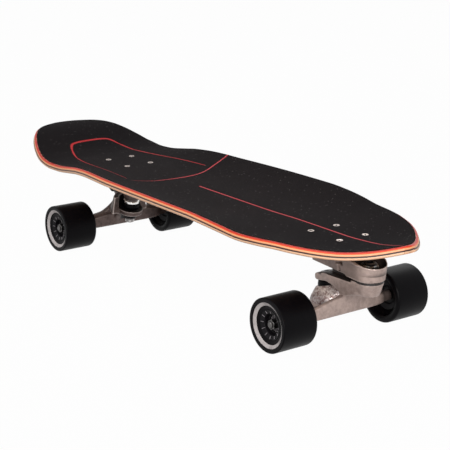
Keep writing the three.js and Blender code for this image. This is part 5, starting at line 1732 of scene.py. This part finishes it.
# The share of plain white in what shows of the floor, and the strength of the light all round
FLOOR_GLOW = 0.98
WORLD_LIGHT = 0.11
# Name, place, aim and size in metres, power and colour
LAMPS = [
    ("over", (0.5, -1.2, 2.6), (0, 0, 0.1), (2.4, 2.4), 54, (255, 255, 255)),
    ("front", (2.63, -1.23, 1.04), (0.2, 0, 0.05), (1.3, 1.1), 56, (255, 253, 250)),
    ("back", (-1.6, 1.8, 2.2), (0, 0, 0.1), (2.0, 2.0), 20, (255, 255, 255)),
]


def make_floor():
    floor = Finish("studio_floor", Base_Color=paint(160, 159, 159), Roughness=0.9,
                   Specular_IOR_Level=0.0)
    floor.feed(floor.output.inputs[0], floor.node("ShaderNodeMixShader", {}, {
        0: floor.shown() * FLOOR_GLOW, 1: Value(floor, floor.shader.outputs[0]),
        2: floor.white("ShaderNodeEmission")}))
    points = [(FLOOR_HALF * x, FLOOR_HALF * y, 0) for x, y in ((-1, -1), (1, -1), (1, 1), (-1, 1))]
    mesh = mesh_from("floor", points, [(0, 1, 2, 3)])
    mesh.materials.append(floor.material)
    new_object("floor", mesh)


def make_world():
    world = bpy.data.worlds.new("studio")
    world.use_nodes = True
    bpy.context.scene.world = world
    sky = Nodes(world.node_tree)
    light = sky.node("ShaderNodeMixShader", {}, {
        0: sky.shown(), 1: sky.white("ShaderNodeBackground", WORLD_LIGHT),
        2: sky.white("ShaderNodeBackground")})
    sky.feed(sky.nodes.new("ShaderNodeOutputWorld").inputs[0], light)


def make_lamps():
    for name, place, aim, size, power, colour in LAMPS:
        lamp = bpy.data.lights.new(name, "AREA")
        lamp.shape = "RECTANGLE"
        lamp.size, lamp.size_y = size
        lamp.energy = power
        lamp.color = paint(*colour)[:3]
        holder = new_object(name, lamp)
        holder.location = Vector(place)
        holder.rotation_mode = "QUATERNION"
        holder.rotation_quaternion = (Vector(aim) - Vector(place)).to_track_quat("-Z", "Y")


def make_camera():
    camera = bpy.data.cameras.new("view")
    camera.sensor_width = 36
    camera.lens = CAMERA_LENS
    camera.shift_x, camera.shift_y = CAMERA_SHIFT
    camera.clip_start, camera.clip_end = CAMERA_CLIP
    round_z, up, roll = (angle * DEGREE for angle in CAMERA_TURN)
    back = Vector((math.sin(round_z) * math.cos(up), -math.cos(round_z) * math.cos(up),
                   math.sin(up)))
    level = Vector((math.cos(round_z), math.sin(round_z), 0))
    rising = back.cross(level)
    across = level * math.cos(roll) + rising * math.sin(roll)
    upward = rising * math.cos(roll) - level * math.sin(roll)
    eye = Vector(CAMERA_TARGET) * MM + back * CAMERA_DISTANCE * MM
    turn = Matrix((across, upward, back)).transposed().to_4x4()
    holder = new_object("view", camera)
    holder.matrix_world = Matrix.Translation(eye) @ turn
    bpy.context.scene.camera = holder


def make_stage():
    bpy.context.scene.view_settings.view_transform = "Standard"
    make_floor()
    make_world()
    make_lamps()
    make_camera()


# The object

def make_trucks():
    pale, deep = paint(194, 173, 165), paint(148, 130, 124)
    # The spaces that are painted near-black as shade, in the front boss and in the rear casting
    front_painted_shade = [(SWING, 0, 20.4, 6.2, 60), (TAILWARD, 0, 18.4, 8.8, 60),
                  (SWING, 0, 18.7, -5.4, 0.2)]
    rear_painted_shade = [(REAR_PIN, 0, 19.6, -14.4, 1.5), (REAR_PIN, 15.6, 19.6, 1.5, 24),
                 (REAR_PIN, 0, 14.2, -38, -21.3), (REAR_STEER, 0, 8.8, 43, 60)]
    steel = steel_finish("plated_steel", paint(196, 188, 184), 0.26)
    black_steel = black_steel_finish()
    make_castings(
        casting_finish("cast_aluminium_front", pale, deep, painted_shade_in=front_painted_shade, boss_shade=True),
        casting_finish("cast_aluminium_hanger", pale, deep, bell=(40, 297.1)),
        # Painted shade: the rear castings are a darker copy of the same aluminium, for the shade
        # under the deck.
        casting_finish("cast_aluminium_rear_shaded", paint(114, 98, 94), paint(66, 54, 52),
                       painted_shade_in=rear_painted_shade, edge_highlight=0.85))
    make_kingpins(
        # Painted shade: the rear kingpin's nut and lower washer are a darker copy of the plated
        # steel.
        steel, steel_finish("nut_steel", paint(84, 79, 79), 0.28, paint(60, 54, 52)),
        steel_finish("bright_steel", paint(240, 238, 236), 0.18, paint(214, 204, 196)),
        black_steel, urethane_finish("bushing_urethane", paint(7, 5, 8), 0.36))
    make_swing_set(steel_finish("grey_steel", paint(20, 18, 20), 0.26, paint(16, 14, 14)),
                   black_steel)
    make_spring(steel, black_steel)
    make_axles(steel_finish("zinc_steel", paint(32, 29, 29), 0.24, paint(24, 21, 20), edge_highlight=0.2))
    make_riser(urethane_finish("riser_rubber", paint(22, 17, 19), 0.55))


def make_wheels():
    finishes = {
        "urethane": urethane_finish(), "print": print_finish(),
        "core": plastic_finish("moulded_core", paint(9, 7, 10), 0.4),
        "ribs": plastic_finish("core_ribs", paint(126, 121, 125), 0.35),
        "outer race": steel_finish("bearing_steel", paint(84, 80, 82), 0.3, paint(60, 56, 56)),
        # Painted shade: the inner races and shields are painted near-black for the shade on the
        # wheels' inner sides.
        "inner race": plastic_finish("inner_race_painted_shade", paint(12, 10, 11), 0.4),
        "outer shield": plastic_finish("bearing_shield", paint(116, 112, 116), 0.3),
        "inner shield": plastic_finish("inner_shield_painted_shade", paint(14, 12, 14), 0.3),
    }
    ribs = core_ribs(finishes["core"])
    for end, x in AXLES:
        for name, side in SIDES:
            make_wheel(f"{end}_{name}", x, side, finishes, ribs)


make_deck(wood_finish(), grip_finish())
make_lines()
make_bolts(steel_finish("bolt_steel", paint(188, 176, 170), 0.34))
make_trucks()
make_wheels()
make_stage()
